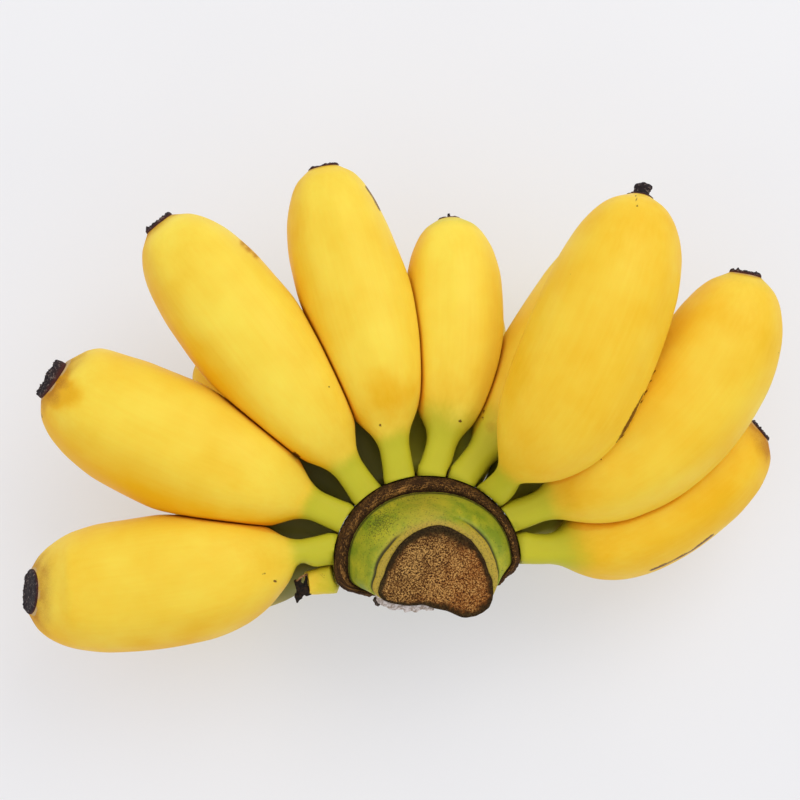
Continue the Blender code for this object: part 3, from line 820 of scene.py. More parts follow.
def crown_skin_material(look):
    """Green skin of the crown: firm and slightly waxy, with dark pinpricks, yellower towards the cut."""
    made, shader, add = new_material(
        "Banana crown skin, green", Subsurface_Weight=0.08, Subsurface_Radius=(0.6, 0.8, 0.2),
        Subsurface_Scale=0.002, Specular_IOR_Level=0.4,
    )
    band, dirt, groove = (add("Attribute", "Fac", attribute_name=key) for key in ("band", "dirt", "groove"))
    place = add("TexCoord", "Object")
    # Clouds 7 mm across, pinpricks 0.5 mm across, and cells 2.5 mm across that show through the skin
    clouds = add("TexNoise", "Fac", {"Vector": place, "Scale": 1 / 0.007, "Detail": 3.0})
    pinpricks, cells = (
        add("TexNoise", "Fac", {"Vector": place, "Scale": 1 / size, "Roughness": 0.6})
        for size in (0.0005, 0.0025)
    )
    light = add("Math", "Value", (cells, 0.6, clouds), **TIMES_PLUS)
    light = add("MapRange", "Result", (light, 0.62, 1.0))
    edge = add("Math", "Value", (cells, 0.4, -0.2), **TIMES_PLUS)
    band = add("Math", "Value", (edge, band), operation="ADD")
    band = add("MapRange", "Result", (band, 0.05, 0.9))
    mottle = add("MapRange", "Result", (pinpricks, 0.42, 0.66, 0.0, 0.6), **SMOOTH)
    dirt = add("Math", "Value", (dirt, 0.34, pinpricks), **TIMES_PLUS)
    dirt = add("MapRange", "Result", (dirt, 0.60, 0.74, 0.0, 0.8), **SMOOTH)
    # Painted shade: the groove round the dome and the seam between cork and dome are painted dark brown, as
    # shade falls in them
    groove = add("MapRange", "Result", (groove, 0.2, 0.9, 0.0, 0.9), **SMOOTH)
    band_colour = add("Mix", MIXED, {SHARE: mottle, UNDER: rgba(look.band), OVER: rgba("8A7420")}, **COLOURS)
    colour = rgba(look.skin)
    for share, over in (
        (light, rgba("AFAE24")), (band, band_colour), (dirt, rgba("4A5216")), (groove, rgba("33270F")),
    ):
        colour = add("Mix", MIXED, {SHARE: share, UNDER: colour, OVER: over}, **COLOURS)
    rough = add("MapRange", "Result", {"Value": clouds, "To Min": 0.42, "To Max": 0.68})
    bump = add("Bump", "Normal", {"Height": pinpricks, "Strength": 0.3, "Distance": 0.0002})
    fill(shader, {"Base Color": colour, "Roughness": rough, "Normal": bump})
    return made


def cut_material(look):
    """Cut stalk, dried: the ends of thousands of fibres, brown and crumbly, with light and dark grains."""
    made, shader, add = new_material("Banana stalk, cut and dried", Specular_IOR_Level=0.15, Roughness=0.95)
    place = add("TexCoord", "Object")
    rim, warm = (add("Attribute", "Fac", attribute_name=key) for key in ("rim", "warm"))
    # Grains 0.45 mm across, in clouds of 6 mm
    grains = add("TexNoise", "Fac", {"Vector": place, "Scale": 1 / 0.00045, "Detail": 3.0, "Roughness": 0.75})
    clouds = add("TexNoise", "Fac", {"Vector": place, "Scale": 1 / 0.006})
    light = add("Math", "Value", (clouds, 0.25, grains), **TIMES_PLUS)
    light = add("MapRange", "Result", (light, 0.635, 0.72, 0.0, 0.88))
    pits = add("MapRange", "Result", (grains, 0.42, 0.51, 0.95, 0.0))
    rim = add("Math", "Value", (rim, 0.52, grains), **TIMES_PLUS)
    rim = add("MapRange", "Result", (rim, 0.64, 1.0, 0.0, 0.9), **SMOOTH)
    colour = rgba(look.cut)
    for share, over in ((warm, "9C5E28"), (light, look.cut_fibre), (pits, "2E170B"), (rim, "1F1C0C")):
        colour = add("Mix", MIXED, {SHARE: share, UNDER: colour, OVER: rgba(over)}, **COLOURS)
    bump = add("Bump", "Normal", {"Height": grains, "Strength": 0.9, "Distance": 0.0005})
    fill(shader, {"Base Color": colour, "Normal": bump})
    return made


def torn_material(name, colour, dark, grain):
    """Torn plant fibre: thin, dry and matt, with streaks along it. grain is its streaks' width in metres."""
    made, shader, add = new_material(name, Specular_IOR_Level=0.2)
    place = add("TexCoord", "Object")
    streaks = add("TexNoise", "Fac", {"Vector": place, "Scale": 1 / grain, "Detail": 3.0, "Roughness": 0.65})
    amount = add("MapRange", "Result", (streaks, 0.42, 0.62), **SMOOTH)
    mixed = add("Mix", MIXED, {SHARE: amount, UNDER: rgba(colour), OVER: rgba(dark)}, **COLOURS)
    rough = add("MapRange", "Result", {"Value": streaks, "To Min": 0.7})
    bump = add("Bump", "Normal", {"Height": streaks, "Strength": 0.6, "Distance": 0.0003})
    fill(shader, {"Base Color": mixed, "Roughness": rough, "Normal": bump})
    return made


def floor_material(look):
    """Light table, opal acrylic with a sanded top: matt, and lit from below, which keeps shadows pale."""
    made, shader, add = new_material(
        "Light table, sanded opal acrylic", Specular_IOR_Level=0.25, Roughness=0.8,
        Emission_Strength=look.glow / max(look.floor),
    )
    # Clouds 110 mm across
    clouds = add("TexNoise", "Fac", {"Vector": add("TexCoord", "Object"), "Scale": 9.0})
    colour = add("Mix", MIXED, {SHARE: clouds, UNDER: rgba(look.floor), OVER: rgba("B4B4B6")}, **COLOURS)
    fill(shader, {"Base Color": colour, "Emission Color": colour})
    return made


def near_line(places, line):
    """Distance in mm from places on the fan's plane to a line through points."""
    closest = np.full(places.shape[:-1], np.inf)
    for start, end in zip(np.array(line[:-1], float), np.array(line[1:], float)):
        span = end - start
        t = np.clip((places - start) @ span / (span @ span), 0, 1)
        closest = np.minimum(closest, np.linalg.norm(places - start - t[..., None] * span, axis=-1))
    return closest


def fruit_values(name, points, outwards, distances, sweep, ripeness, seed):
    """What the peel's material reads at each point of the skin."""
    from_tip = sweep.length - distances
    blotch = lumps(points, 9.0, seed)
    mottle = lumps(points, 3.5, seed + 5)
    neck = ripeness.neck + 3.0 * blotch
    green = 1 - soft_step(distances, UPPER_STEM.length * 0.7, neck)
    green = np.maximum(green, ripeness.tip_green * (1 - soft_step(from_tip, 0.5, 7.0 + 2 * blotch)))
    gold = ripeness.gold + 0.12 * blotch
    # painted shade: a deeper gold on the side that lies away from the key light
    gold += PAINTED_SHADE_GOLD.get(name, 0.0) * soft_step(outwards @ SHADE_SIDE, -0.2, 0.8)
    tan = np.clip((0.8 + 0.3 * mottle + 0.3 * blotch) * np.exp(-(from_tip / ripeness.halo) ** 1.4), 0, 1)
    lip = (1 - soft_step(from_tip, 0.15, 0.9)) * (0.55 + 0.6 * mottle)
    painted_shade = np.zeros(distances.shape)
    # touch: brown skin where fruits press, and painted shade in the crease between them
    clearance = np.min([neighbour.outside(points) for neighbour in neighbours_of(name)], axis=0)
    touch = np.exp(-np.maximum(clearance, 0.0) / TOUCH_REACH)
    scratch = np.full(distances.shape, FAR_FROM_LINES)
    if name in LOWER_FRUITS:
        green = np.maximum(green, LOWER_GREEN.get(name, 0.45) + 0.15 * blotch)
        # painted shade on the lower row's stems near the crown, between the two rows
        painted_shade = PAINTED_SHADE_ON_STEMS.get(name, 0.85) * (1 - soft_step(distances, 16, 38))
    else:
        places = seen_on_fan(points)
        sight = VIEWPOINT - points
        slant = (outwards * sight).sum(axis=-1) / np.linalg.norm(sight, axis=-1)
        # A scratch ends softly where the skin turns away
        turned_away = 1.2 * (1 - soft_step(slant, 0.0, 0.13)) + 0.22 * mottle
        # scratches, and lines of painted shadow in the crevice where the seventh fruit lies over the eighth
        for line in SCRATCHES_AND_SHADE_LINES:
            scratch = np.minimum(scratch, near_line(places, line) + turned_away)
        # rubbed and stained patches, and patches of painted shade at the fruits' bases
        for middle, radius, tan_and_shade, gold_and_shade in RUBS_AND_PAINTED_SHADE:
            off = np.linalg.norm(places - np.array(middle), axis=-1) * (1 - 0.3 * mottle)
            here = soft_step(slant, -0.05, 0.15) * (1 - soft_step(off, 0.2 * radius, radius))
            tan = np.maximum(tan, tan_and_shade * here)
            gold = gold + gold_and_shade * here
    return {
        "green": green, "gold": gold, "tan": tan, "touch": touch, "scratch_mm": scratch, "lip": lip,
        "painted_shade": painted_shade,
    }


def fruit_rings(name, sweep, ripeness, sides, ridge_height, seed):
    """The fruit's skin as rings of points, with their ways out, distances along it and places unrolled."""
    stem = np.linspace(0, sweep.stem_length, max(6, sides // 8), endpoint=False)
    body = 0.5 - 0.5 * np.cos(np.linspace(0, np.pi, int(sides * RINGS_PER_SIDE)))
    distances = np.concatenate([stem, sweep.stem_length + body * (sweep.length - sweep.stem_length)])
    centres = sweep.centre(distances)
    over, aside, _ = sweep.axes(distances)
    turn = turns_of(sides)
    spokes = spokes_of(turn, over, aside)
    girth = sweep.radius(distances)[:, None]
    along = np.broadcast_to(distances[:, None], (len(distances), sides))
    in_body = soft_step(distances, UPPER_STEM.length * 0.6, UPPER_STEM.length * 2.6)[:, None]
    off_tip = soft_step(sweep.length - distances, 0.0, 9.0)[:, None]
    ridge = RIDGES * (turn - np.radians(ripeness.ridge_turn))
    ridges = ridge_height * (np.cos(ridge) + 0.3 * np.cos(2 * ridge)) * in_body * off_tip
    squareness = -STEM_SQUARENESS * np.cos(4 * turn) * (1 - in_body) * girth
    unrolled = np.stack([girth * np.cos(turn), girth * np.sin(turn), along], axis=-1)
    uneven = 0.3 * lumps(unrolled * (1, 1, 0.5), 12.0, seed) * in_body * off_tip
    uneven = uneven + 0.06 * lumps(unrolled * (1, 1, 0.15), 1.8, seed + 3)
    for side, place, reach, depth in NOTCHES.get(name, ()):
        facing = np.maximum(np.cos(turn - np.radians(side)), 0) ** 1.5
        away = distances[:, None] - (place if place > 0 else sweep.length + place)
        uneven = uneven - depth * facing * bell(away, 0, reach)
    rings = centres[:, None] + (girth + ridges + squareness + uneven)[..., None] * spokes
    rings = pressed(rings, centres, sweep, neighbours_of(name))
    rings = turned_end(rings, along, sweep, BLOSSOMS.get(name, LOWER_BLOSSOM))
    return rings, spokes, along, unrolled


def turned_end(points, distances, sweep, blossom):
    """The points near a fruit's end sheared, so that its scar is turned up and aside."""
    centre, radius, over, aside, ahead = sweep.far_end()
    away = points - centre
    back = np.tan(np.radians(blossom.tilt)) * (away @ over + radius)
    back = back + np.tan(np.radians(blossom.swing)) * (away @ aside)
    share = soft_step(distances, sweep.length - SCAR_TILT_REACH, sweep.length)
    return points - (back * share)[..., None] * ahead


def build_fruit(name, ripeness, sides, ridge_height, seed, peel):
    sweep = SWEEPS[name]
    rings, spokes, along, unrolled = fruit_rings(name, sweep, ripeness, sides, ridge_height, seed)
    rings[0], wall_point = seated(rings[0])
    ends = wall_point, rings[-1].mean(axis=0)
    first, last = sweep.heading(np.array([0.0, sweep.length]))
    values = fruit_values(
        name, with_ends(rings, *ends), with_ends(spokes, -first, last), with_ends(along, 0.0, sweep.length),
        sweep, ripeness, seed,
    )
    skin = with_ends(unrolled, (0, 0, 0), (0, 0, sweep.length)) + seed * SKIN_SHIFT
    new_tube(
        name.replace("finger", "peel"), rings, ends, [peel], "peel", replaced=(name,), skin_mm=skin, **values,
    )


def smooth_profile(knots, between):
    """A profile with this many more points between each two of its own, rounded at its corners."""
    knots = np.array(knots, float)
    at = np.linspace(0, len(knots) - 1, (len(knots) - 1) * (between + 1) + 1)
    places = np.arange(len(knots))
    return [smooth_curve(np.column_stack([places, column]), at) for column in knots.T]


def build_blossom_scar(name, blossom, seed, dried):
    """A crust with a ragged rim and a sunken, lumpy middle, on the fruit's end."""
    sweep = SWEEPS[name]
    centre, radius, over, aside, ahead = sweep.far_end()
    shares, heights = smooth_profile(SCAR_PROFILE, 3)
    turn = turns_of(SCAR_SIDES)
    rim = np.stack([np.cos(turn), np.sin(turn), np.zeros(SCAR_SIDES)], axis=-1) * radius
    teeth = np.abs(lumps(rim, 1.5, seed)) + 0.5 * np.abs(lumps(rim, 0.7, seed + 1))
    wander = lumps(rim, 4.0, seed + 2)
    raised = np.clip(heights, 0, 1)[:, None]
    out = radius * shares[:, None] * (1 + 0.06 * wander * raised)
    thickness = blossom.thickness * (1 + blossom.lean * np.sin(turn))
    torn = teeth * blossom.raggedness * raised * soft_step(shares, 0.5, 0.9)[:, None]
    up = heights[:, None] * thickness + torn
    spokes = spokes_of(turn, over, aside)
    rings = centre + out[..., None] * spokes + up[..., None] * ahead
    crumb = lumps(rings, 1.1, seed + 4) * 0.28 + lumps(rings, 0.5, seed + 5) * 0.16
    chips = lumps(rings, 1.3, seed + 6) * 0.45 * raised * shares[:, None]
    rings = rings + (crumb * raised)[..., None] * ahead + chips[..., None] * spokes
    rings = turned_end(rings, np.full(rings.shape[:2], sweep.length), sweep, blossom)
    if name == FRUIT_WITH_POINT:
        rings[-4:] += ahead * np.array([0.3, 0.9, 1.5, 1.9])[:, None, None]
    edge = (bell(heights, 0.1, 0.35) * (shares > 0.9))[:, None] * np.ones(SCAR_SIDES)
    new_tube(
        name.replace("finger", "blossom_scar"), rings, middles(rings), [dried], "peel",
        rim=with_ends(edge, 0.0, 0.0),
    )


def build_nub(sweep, seed, dried):
    """The dried style that stays on one fruit: a shrivelled knob on a thin collar."""
    centre, _, over, aside, ahead = sweep.far_end()
    heights, radii = smooth_profile(NUB_PROFILE, 4)
    turn = turns_of(NUB_SIDES)
    folds = 1 + 0.10 * np.cos(5 * turn + 0.7) * soft_step(heights, 0.1, 0.4)[:, None]
    lean = 0.5 * soft_step(heights, 0.1, 1.0)
    rings = (
        centre + (heights * NUB_LENGTH)[:, None, None] * ahead + lean[:, None, None] * aside
        + (radii[:, None] * folds)[..., None] * spokes_of(turn, over, aside)
    )
    crumb = 0.35 * lumps(rings, 1.3, seed) + 0.18 * lumps(rings, 0.6, seed + 1)
    rings = rings + crumb[..., None] * unit(rings - rings.mean(axis=1, keepdims=True))
    collar = (1 - soft_step(heights, 0.04, 0.14))[:, None] * np.ones(NUB_SIDES)
    new_tube("dried_style", rings, middles(rings), [dried], "peel", rim=with_ends(0.6 * collar, 0.0, 0.0))


def cut_level(places):
    """The height of the slanted cut face over places of the fan's plane."""
    return CUT_HEIGHT - (places - CUT_CENTRE) @ CUT_TILT


def cut_outline(angles, share=1.0):
    knots = CUT_EDGE + ((360, CUT_EDGE[0][1]),)
    radius = smooth_curve(knots, angles) * share
    turned = np.radians(angles)
    return CUT_CENTRE + radius[:, None] * np.stack([np.cos(turned), np.sin(turned)], axis=-1)


def crown_meridians(angles):
    """The crown's surface at key levels, from its underside up to the cut's edge, and the part of each.

    Parts count on from 0 on the wall, 1 at the ring's crest and 2 at the dome's foot to 3 at the cut's edge.
    """
    ones = np.ones(len(angles))
    keys = [(crown_outline(angles, share, front), ones * level, 0) for level, share, front in WALL_LEVELS]
    wide = smooth_curve(RING_WIDTH, angles)[:, None]
    for i, (level, share) in enumerate(RING_CREST):
        keys.append((crown_outline(angles) * (1 - (1 - share) * wide), ones * level, 1 + i / 5))
    foot_level, foot_share = DOME_FOOT
    foot, edge = crown_outline(angles) * (1 - (1 - foot_share) * wide), cut_outline(angles)
    keys.append((foot, ones * foot_level, 2))
    top = cut_level(edge) - UNDER_RIM
    for share in DOME_STEPS:
        rise = np.sin(share * np.pi / 2)
        keys.append((foot * (1 - share) + edge * share, foot_level + (top - foot_level) * rise, 2 + share))
    keys.append((CUT_CENTRE + (edge - CUT_CENTRE) * 0.92, top - 2.5, 3.2))
    rings = np.array([np.column_stack([outline, level]) for outline, level, _ in keys])
    return rings, np.array([part for _, _, part in keys], float)


def crown_rings(angles):
    """The crown's rings of points, close together and with soft corners, and the part of each."""
    keys, parts = crown_meridians(angles)
    lengths = np.linalg.norm(np.diff(keys, axis=0), axis=-1).max(axis=1)
    counts = np.maximum(1, np.round(lengths / CROWN_RING_STEP).astype(int))
    at = np.concatenate([[0.0]] + [i + np.arange(1, n + 1) / n for i, n in enumerate(counts)])
    low = np.minimum(at.astype(int), len(keys) - 2)
    t = (at - low)[:, None, None]
    rings = keys[low] * (1 - t) + keys[low + 1] * t
    for _ in range(4):
        rings[1:-1] += 0.25 * (rings[:-2] + rings[2:] - 2 * rings[1:-1])
    return rings, parts[low] + (parts[low + 1] - parts[low]) * t[:, 0, 0]


def build_crown(bark, skin):
    """The corky ring and wall, and the green dome inside it with its grooves, as one closed mesh."""
    angles = np.arange(CROWN_SIDES) * 360 / CROWN_SIDES
    rings, part = crown_rings(angles)
    around = np.tile(np.radians(angles), (len(rings), 1))
    level = np.broadcast_to(part[:, None], around.shape)
    sideways = np.roll(rings, -1, axis=1) - np.roll(rings, 1, axis=1)
    upward = np.gradient(rings, axis=0)
    outwards = unit(np.cross(sideways, upward))
    turned = np.stack([np.cos(around), np.sin(around), 0 * around], axis=-1)
    # The cork: fibres that run round the ring, torn deeper at its crest
    arc = np.cumsum(np.linalg.norm(sideways, axis=-1) / 2, axis=1)
    down = np.cumsum(np.linalg.norm(upward, axis=-1), axis=0)
    on_ring = 1 - soft_step(level, 1.6, 2.02)
    fibre_at = np.dstack([turned[..., :2] * RING_RADIUS / CORK_FIBRE[0], down / CORK_FIBRE[1]])
    crumbs = lumps(rings, 0.8, 6) + 0.7 * lumps(rings, 2.5, 7)
    cork = (0.10 * lumps(fibre_at, 1.0, 5) + 0.26 * crumbs) * on_ring
    heading = np.degrees(around) % 360
    front = soft_between(heading, *CORK_FRONT)
    cork = cork + (0.7 * lumps(rings, 6.0, 18) + 0.5 * lumps(rings, 2.2, 19)) * front * (level < 1)
    # The dome: one groove round it, deep at the left and the right and faint at the back
    dome = np.clip(level - 2, 0, 1)
    left = soft_between(heading, *GROOVE_LEFT)
    right = np.where(heading > 180, 1 - soft_step(360 - heading, 18, 45), 1 - soft_step(heading, 40, 78))
    groove_at = smooth_curve(GROOVE, heading) + 0.03 * lumps(turned * 10, 3.0, 8)
    shown = np.maximum(left, 0.9 * right)
    groove = bell(dome, groove_at, GROOVE_WIDTH) * shown * (dome > 0)
    # painted shade: the seam between the cork and the dome is darkened along with the groove
    seam = bell(level, 2.0, 0.05)
    swell = 0.35 * lumps(rings, 7.0, 9) * soft_step(dome, 0.02, 0.3) * (1 - soft_step(dome, 0.9, 1.0))
    rings = rings + (cork - GROOVE_DEPTH * groove + swell)[..., None] * outwards
    band = soft_step(dome, groove_at, groove_at + 0.08) * shown
    band = np.maximum(band, soft_step(dome, 0.60, 0.98))
    band = np.maximum(band, 0.42 * bell(heading, 98, 26))
    speckled = 0.55 * (bell(heading, 138, 16) * bell(dome, 0.30, 0.28))
    speckled = speckled + 0.18 * bell(heading, 105, 14) * bell(dome, 0.1, 0.12) + 0.02
    # crest: the cork's light fibres are fewer down the wall and fade out towards the seam with the dome,
    # which paints the shade of that crevice
    crest = (soft_step(level, 0.4, 1.0) * 0.55 + 0.45) * (1 - 0.9 * soft_step(level, 1.3, 1.6))
    ends = (0.0, 0.0, CROWN_UNDERSIDE), (*CUT_CENTRE, CUT_HEIGHT - 9.0)
    read = {"band": band, "dirt": speckled, "groove": np.maximum(groove, 0.8 * seam), "crest": crest}
    piece = new_tube(
        "crown", rings, ends, [bark, skin], "crown", replaced=("crown",),
        ring_mm=with_ends(np.stack([arc, down, 0 * arc], axis=-1), *np.zeros((2, 3))),
        **{key: with_ends(numbers, 0.0, 0.0) for key, numbers in read.items()},
    )
    # Skin from the dome's foot inwards, and under the crown where no stem tore it
    on_dome = np.repeat((part[:-1] + part[1:]) / 2 > SKIN_STARTS, CROWN_SIDES)
    underneath = (rings[:-1, :, 2] < UNDERSIDE_SKIN).ravel()
    is_skin = np.concatenate([on_dome | underneath, np.ones(2 * CROWN_SIDES, bool)])
    piece.data.polygons.foreach_set("material_index", is_skin.astype(int))


def build_cut_face(cut):
    """The dried cut through the stalk: a lumpy, granular face with a torn rim that curls over the dome."""
    angles = np.arange(CUT_FACE_SIDES) * 360 / CUT_FACE_SIDES
    shares = np.concatenate([[1.0, 1.015, 1.02, 1.01], np.linspace(0.99, 0.02, CUT_FACE_RINGS)])
    drops = np.concatenate([[-1.6, -0.9, -0.3, 0.05], np.zeros(CUT_FACE_RINGS)])
    wander = 1 + 0.012 * lumps(np.column_stack([cut_outline(angles), angles * 0]), 2.0, 11)
    rings = []
    for share, drop in zip(shares, drops):
        outline = CUT_CENTRE + (cut_outline(angles, share) - CUT_CENTRE) * wander[:, None]
        rings.append(np.column_stack([outline, cut_level(outline) + drop]))
    rings = np.array(rings)
    share = np.broadcast_to(np.minimum(shares, 1.0)[:, None], rings.shape[:2])
    inside = 1 - soft_step(share, 0.93, 1.0)
    grains = 0.28 * lumps(rings, 1.0, 12) + 0.24 * lumps(rings, 0.55, 13)
    hollows = 0.4 * lumps(rings, 6.0, 14) - 0.3
    rim = bell(share, 0.96, 0.025) * (0.35 + 0.35 * lumps(rings, 2.2, 15))
    rings[..., 2] += (grains + hollows * inside) * np.maximum(inside, 0.25) + rim
    inset = (1 - share) * np.linalg.norm(cut_outline(angles) - CUT_CENTRE, axis=1)
    uneven = 1 + 0.5 * lumps(rings, 2.5, 16) + 0.6 * lumps(rings, 0.9, 17)
    edge = 1 - soft_step(inset, 0.0, 1.25 * (smooth_curve(DARK_EDGE, angles) * uneven))
    warm = soft_step(rings[..., 0] - 0.6 * rings[..., 1], -4.0, 14.0)
    ends = (*CUT_CENTRE, CUT_HEIGHT - 2.2), (*CUT_CENTRE, rings[-1, :, 2].mean())
    new_tube(
        "cut_stalk_face", rings, ends, [cut], "crown", rim=with_ends(edge, 1.0, edge[-1, 0]),
        warm=with_ends(warm, 0.0, warm[-1, 0]),
    )


def strip(name, path, widths, thickness, normal, material, slot, seed, ragged):
    """A thin torn shred along a path, as wide as widths says, curled and ragged by some mm."""
    *middle, width = smooth_profile(np.column_stack([path, widths]), 7)
    middle = np.column_stack(middle)
    ahead = unit(np.gradient(middle, axis=0))
    aside = unit(np.cross(ahead, np.array(normal, float)))
    over = np.cross(aside, ahead)
    turn = turns_of(STRIP_SIDES)
    rings = (
        middle[:, None] + (width[:, None] * np.cos(turn))[..., None] * aside[:, None]
        + (thickness * np.sin(turn) * np.minimum(width / thickness, 1)[:, None])[..., None] * over[:, None]
    )
    thin = np.minimum(width, 1)[:, None]
    curl = 0.25 * lumps(rings, 1.2, seed) * thin
    tear = ragged * (lumps(rings, 1.6, seed + 1) + 0.7 * lumps(rings, 0.7, seed + 2)) * thin
    rings += curl[..., None] * over[:, None] + tear[..., None] * aside[:, None]
    new_tube(name, rings, (middle[0], middle[-1]), [material], slot)


def build_torn_skin(torn, crumb):
    """The pale skin torn off along the cut's lower edge, and a dark crumb that hangs from it."""
    headings, half_widths = np.array(TORN_SKIN, float).T
    edges = cut_outline(headings)
    path = np.column_stack([edges + unit(edges - CUT_CENTRE) * 0.8, cut_level(edges) - 1.6])
    strip("torn_skin", path, half_widths, 0.3, (-0.3, -0.4, 1), torn, "crown", 20, 0.7)
    places, levels, half_widths = zip(*TORN_CRUMB)
    path = [under_eye(place, level) for place, level in zip(places, levels)]
    strip("torn_crumb", path, half_widths, 0.8, (0, 0, 1), crumb, "crown", 26, 0.5)


def build_broken_stem(sweep, peel, flesh, material_of):
    """The stub of a fruit that was snapped off: skin, a slanted torn end, and a black dried shred."""
    distances = np.linspace(0, sweep.length, STUB_RINGS)
    centres = sweep.centre(distances)
    over, aside, ahead = sweep.axes(distances)
    turn = turns_of(STUB_SIDES)
    girth = sweep.radius(distances)[:, None] * (1 - STEM_SQUARENESS * np.cos(4 * turn))
    spokes = spokes_of(turn, over, aside)
    rings = centres[:, None] + girth[..., None] * spokes
    rings = rings + (0.15 * lumps(rings, 2.0, 41))[..., None] * spokes
    rings = pressed(rings, centres, sweep, neighbours_of("broken_stem"))
    height = (rings[-1] - centres[-1]) @ upwards()
    slant = np.linspace(0, 1, STUB_RINGS)[:, None, None] ** 2
    rings = rings - slant * (STUB_SLANT * height)[None, :, None] * ahead[-1]
    rings[0], wall_point = seated(rings[0], STUB_GAP)
    # The torn end: rings inwards over a rough face
    middle = rings[-1].mean(axis=0)
    caps = []
    for share in TORN_END:
        cap = middle + (rings[-1] - middle) * share
        caps.append(cap + (0.35 * lumps(cap, 1.4, 42) + 0.2 * lumps(cap, 0.7, 43) - 0.2)[:, None] * ahead[-1])
    rings = np.concatenate([rings, caps])
    ends = wall_point, rings[-1].mean(axis=0)
    points = with_ends(rings, *ends)
    along = np.concatenate([distances, np.full(len(caps), sweep.length)])
    along = np.broadcast_to(along[:, None], rings.shape[:2]).ravel()
    star = np.min([near_line(seen_on_fan(points), line) for line in STAR], axis=0)
    piece = new_tube(
        "broken_stem", rings, ends, [peel, flesh], "stem", replaced=("broken_stem",),
        green=with_ends(0.62 - 0.05 * along, 0.6, 0.2) + 0.1 * lumps(points, 3.0, 44),
        gold=np.full(len(points), 0.2),
        tan=with_ends(soft_step(along, sweep.length - 1.0, sweep.length) * 0.4, 0.0, 0.5),
        scratch_mm=star + 0.3,
        skin_mm=np.roll(points, -1, axis=1),
        **dict.fromkeys(("touch", "lip", "painted_shade"), np.zeros(len(points))),
    )
    slots = np.zeros(len(piece.data.polygons), int)
    slots[(STUB_RINGS - 1) * STUB_SIDES:(len(rings) - 1) * STUB_SIDES] = 1
    slots[-STUB_SIDES:] = 1
    piece.data.polygons.foreach_set("material_index", slots)
    # The shred of dried tissue that hangs from its end, in three prongs and a fibre
    for name, places, levels, half_widths, thickness, material in SHREDS:
        path = [under_eye(place, level) for place, level in zip(places, levels)]
        made_of = material_of[material]
        strip(name, path, half_widths, thickness, (0, 0, 1), made_of, "stem", 50 + len(name), 0.5)


def build_peels(fruits, ripeness_of, sides, look, seed):
    peel = bpy.data.materials.get(PEEL) or peel_material(look)
    for number, name in enumerate(fruits):
        build_fruit(name, ripeness_of(name), sides, look.ridge_height / MM, seed + number, peel)


class BANANA_OT_upper_fruits(bpy.types.Operator):
    """Builds the peels of the nine upper fruits"""
    bl_idname = "banana.upper_fruits"
    bl_label = "Upper fruits"

    def execute(self, context):
        look = context.scene.banana_peel
        build_peels(UPPER_FRUITS, RIPENESS.get, look.upper_sides, look, 1)
        return {"FINISHED"}


class BANANA_OT_lower_fruits(bpy.types.Operator):
    """Builds the peels of the lower row that the hand rests on"""
    bl_idname = "banana.lower_fruits"
    bl_label = "Lower row"

    def execute(self, context):
        look = context.scene.banana_peel
        build_peels(LOWER_FRUITS, lambda name: LOWER_RIPENESS, look.lower_sides, look, 21)
        return {"FINISHED"}


class BANANA_OT_blossom_scars(bpy.types.Operator):
    """Builds the dried blossom end of every fruit, and the style left on one of them"""
    bl_idname = "banana.blossom_scars"
    bl_label = "Blossom scars"

    def execute(self, context):
        dried = blossom_material(context.scene.banana_peel)
        for number, name in enumerate((*UPPER_FRUITS, *LOWER_FRUITS)):
            build_blossom_scar(name, BLOSSOMS.get(name, LOWER_BLOSSOM), 70 + 7 * number, dried)
        build_nub(SWEEPS[FRUIT_WITH_NUB], 200, dried)
        return {"FINISHED"}


class BANANA_OT_crown(bpy.types.Operator):
    """Builds the crown with its corky ring and green dome"""
    bl_idname = "banana.crown"
    bl_label = "Crown"

    def execute(self, context):
        look = context.scene.banana_crown
        build_crown(bark_material(look), crown_skin_material(look))
        return {"FINISHED"}


class BANANA_OT_cut_stalk(bpy.types.Operator):
    """Builds the cut face of the stalk and the torn skin at its edge"""
    bl_idname = "banana.cut_stalk"
    bl_label = "Cut stalk"

    def execute(self, context):
        look = context.scene.banana_crown
        build_cut_face(cut_material(look))
        torn = torn_material("Banana stalk skin, torn and pale", look.torn, "9E8E80", 0.0012)
        crumb = torn_material("Banana stalk crumb, dried black", "2C2622", "57493F", 0.0009)
        build_torn_skin(torn, crumb)
        return {"FINISHED"}


class BANANA_OT_broken_stem(bpy.types.Operator):
    """Builds the stub of the fruit that was snapped off"""
    bl_idname = "banana.broken_stem"
    bl_label = "Broken stem"

    def execute(self, context):
        flesh = torn_material("Banana stem, torn across", "D9C24E", "A98F2E", 0.0015)
        material_of = {
            "black": torn_material("Banana stem shred, dried black", "15120F", "33261C", 0.0011),
            "brown": torn_material("Banana stem shred, dried brown", "6E4426", "B58A62", 0.0007),
        }
        build_broken_stem(SWEEPS["broken_stem"], bpy.data.materials[PEEL], flesh, material_of)
        return {"FINISHED"}


class BANANA_OT_stage(bpy.types.Operator):
    """Builds the pale table, the soft lights and the camera"""
    bl_idname = "banana.stage"
    bl_label = "Stage"

    def execute(self, context):
        scene = context.scene
        look = scene.banana_stage
        build_table(look)
        build_lights(scene, look)
        build_camera(scene, look)
        scene.view_settings.view_transform = "Standard"
        return {"FINISHED"}


def build_table(look):
    half = TABLE_HALF_WIDTH
    corners = [(x * half, y * half, 0) for x, y in ((-1, -1), (1, -1), (1, 1), (-1, 1))]
    mesh = bpy.data.meshes.new("table")
    mesh.from_pydata(corners, [], [(0, 1, 2, 3)])
    mesh.materials.append(floor_material(look))
    table = bpy.data.objects.new("table", mesh)
    bpy.context.scene.collection.objects.link(table)


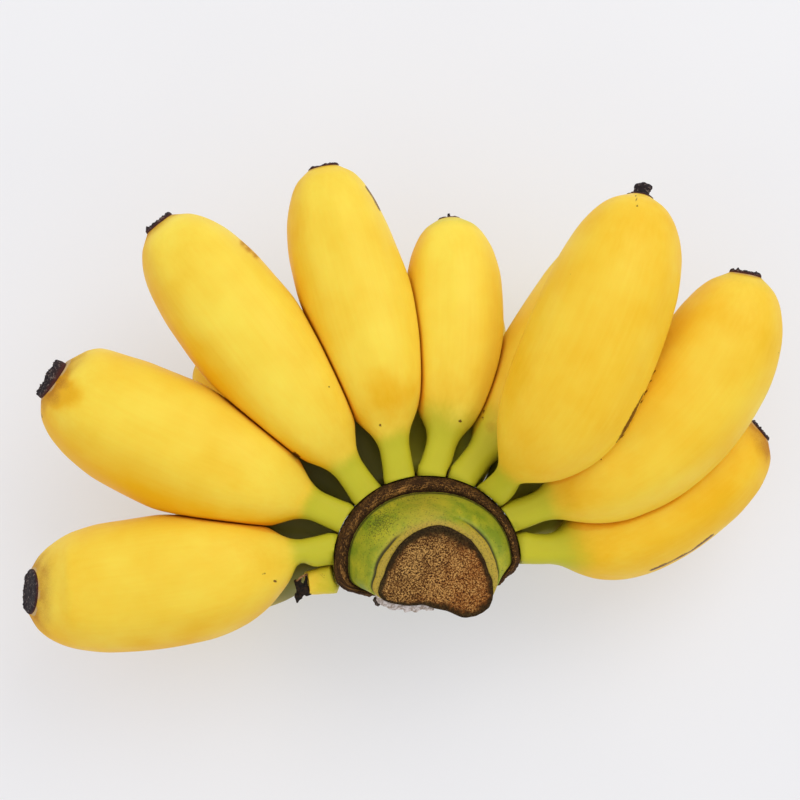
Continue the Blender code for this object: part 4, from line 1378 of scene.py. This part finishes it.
def build_lights(scene, look):
    for name, place, side, share in SOFT_BOXES:
        light = bpy.data.lights.new(name, "AREA")
        light.shape, light.size = "SQUARE", side
        light.energy = look.key_power * share
        lamp = bpy.data.objects.new(name, light)
        lamp.location = place
        lamp.rotation_euler = (-Vector(place)).to_track_quat("-Z", "Y").to_euler()
        scene.collection.objects.link(lamp)
    world = bpy.data.worlds.new("even light")
    world.use_nodes = True
    fill(world.node_tree.nodes["Background"], {"Color": rgba("FBFBFF"), "Strength": look.fill})
    scene.world = world


def build_camera(scene, look):
    lens = bpy.data.cameras.new("camera")
    lens.lens = look.lens
    camera = bpy.data.objects.new("camera", lens)
    camera.location = placed(VIEWPOINT)
    camera.rotation_euler = (np.radians(HAND_TILT), 0.0, 0.0)
    scene.collection.objects.link(camera)
    scene.camera = camera


class BANANA_PT_hand(bpy.types.Panel):
    """Lists the settings and the builders"""
    bl_idname = "BANANA_PT_hand"
    bl_label = "Banana hand"
    bl_space_type = "VIEW_3D"
    bl_region_type = "UI"
    bl_category = "Banana hand"

    def draw(self, context):
        layout = self.layout
        for group in (context.scene.banana_peel, context.scene.banana_crown, context.scene.banana_stage):
            box = layout.box()
            for name in group.__annotations__:
                box.prop(group, name)
        for operator in OPERATORS:
            layout.operator(operator.bl_idname)


SETTINGS = {
    "banana_peel": BananaPeelSettings,
    "banana_crown": BananaCrownSettings,
    "banana_stage": BananaStageSettings,
}
OPERATORS = (
    BANANA_OT_stage,
    BANANA_OT_upper_fruits,
    BANANA_OT_lower_fruits,
    BANANA_OT_blossom_scars,
    BANANA_OT_crown,
    BANANA_OT_cut_stalk,
    BANANA_OT_broken_stem,
)


def register():
    for name, group in SETTINGS.items():
        bpy.utils.register_class(group)
        setattr(bpy.types.Scene, name, PointerProperty(type=group))
    for made in (*OPERATORS, BANANA_PT_hand):
        bpy.utils.register_class(made)


def unregister():
    for made in (BANANA_PT_hand, *reversed(OPERATORS)):
        bpy.utils.unregister_class(made)
    for name, group in SETTINGS.items():
        delattr(bpy.types.Scene, name)
        bpy.utils.unregister_class(group)


def main():
    register()
    bpy.ops.banana.stage()
    bpy.ops.banana.upper_fruits()
    bpy.ops.banana.lower_fruits()
    bpy.ops.banana.blossom_scars()
    bpy.ops.banana.crown()
    bpy.ops.banana.cut_stalk()
    bpy.ops.banana.broken_stem()
    bpy.context.view_layer.update()


if __name__ == "__main__":
    main()
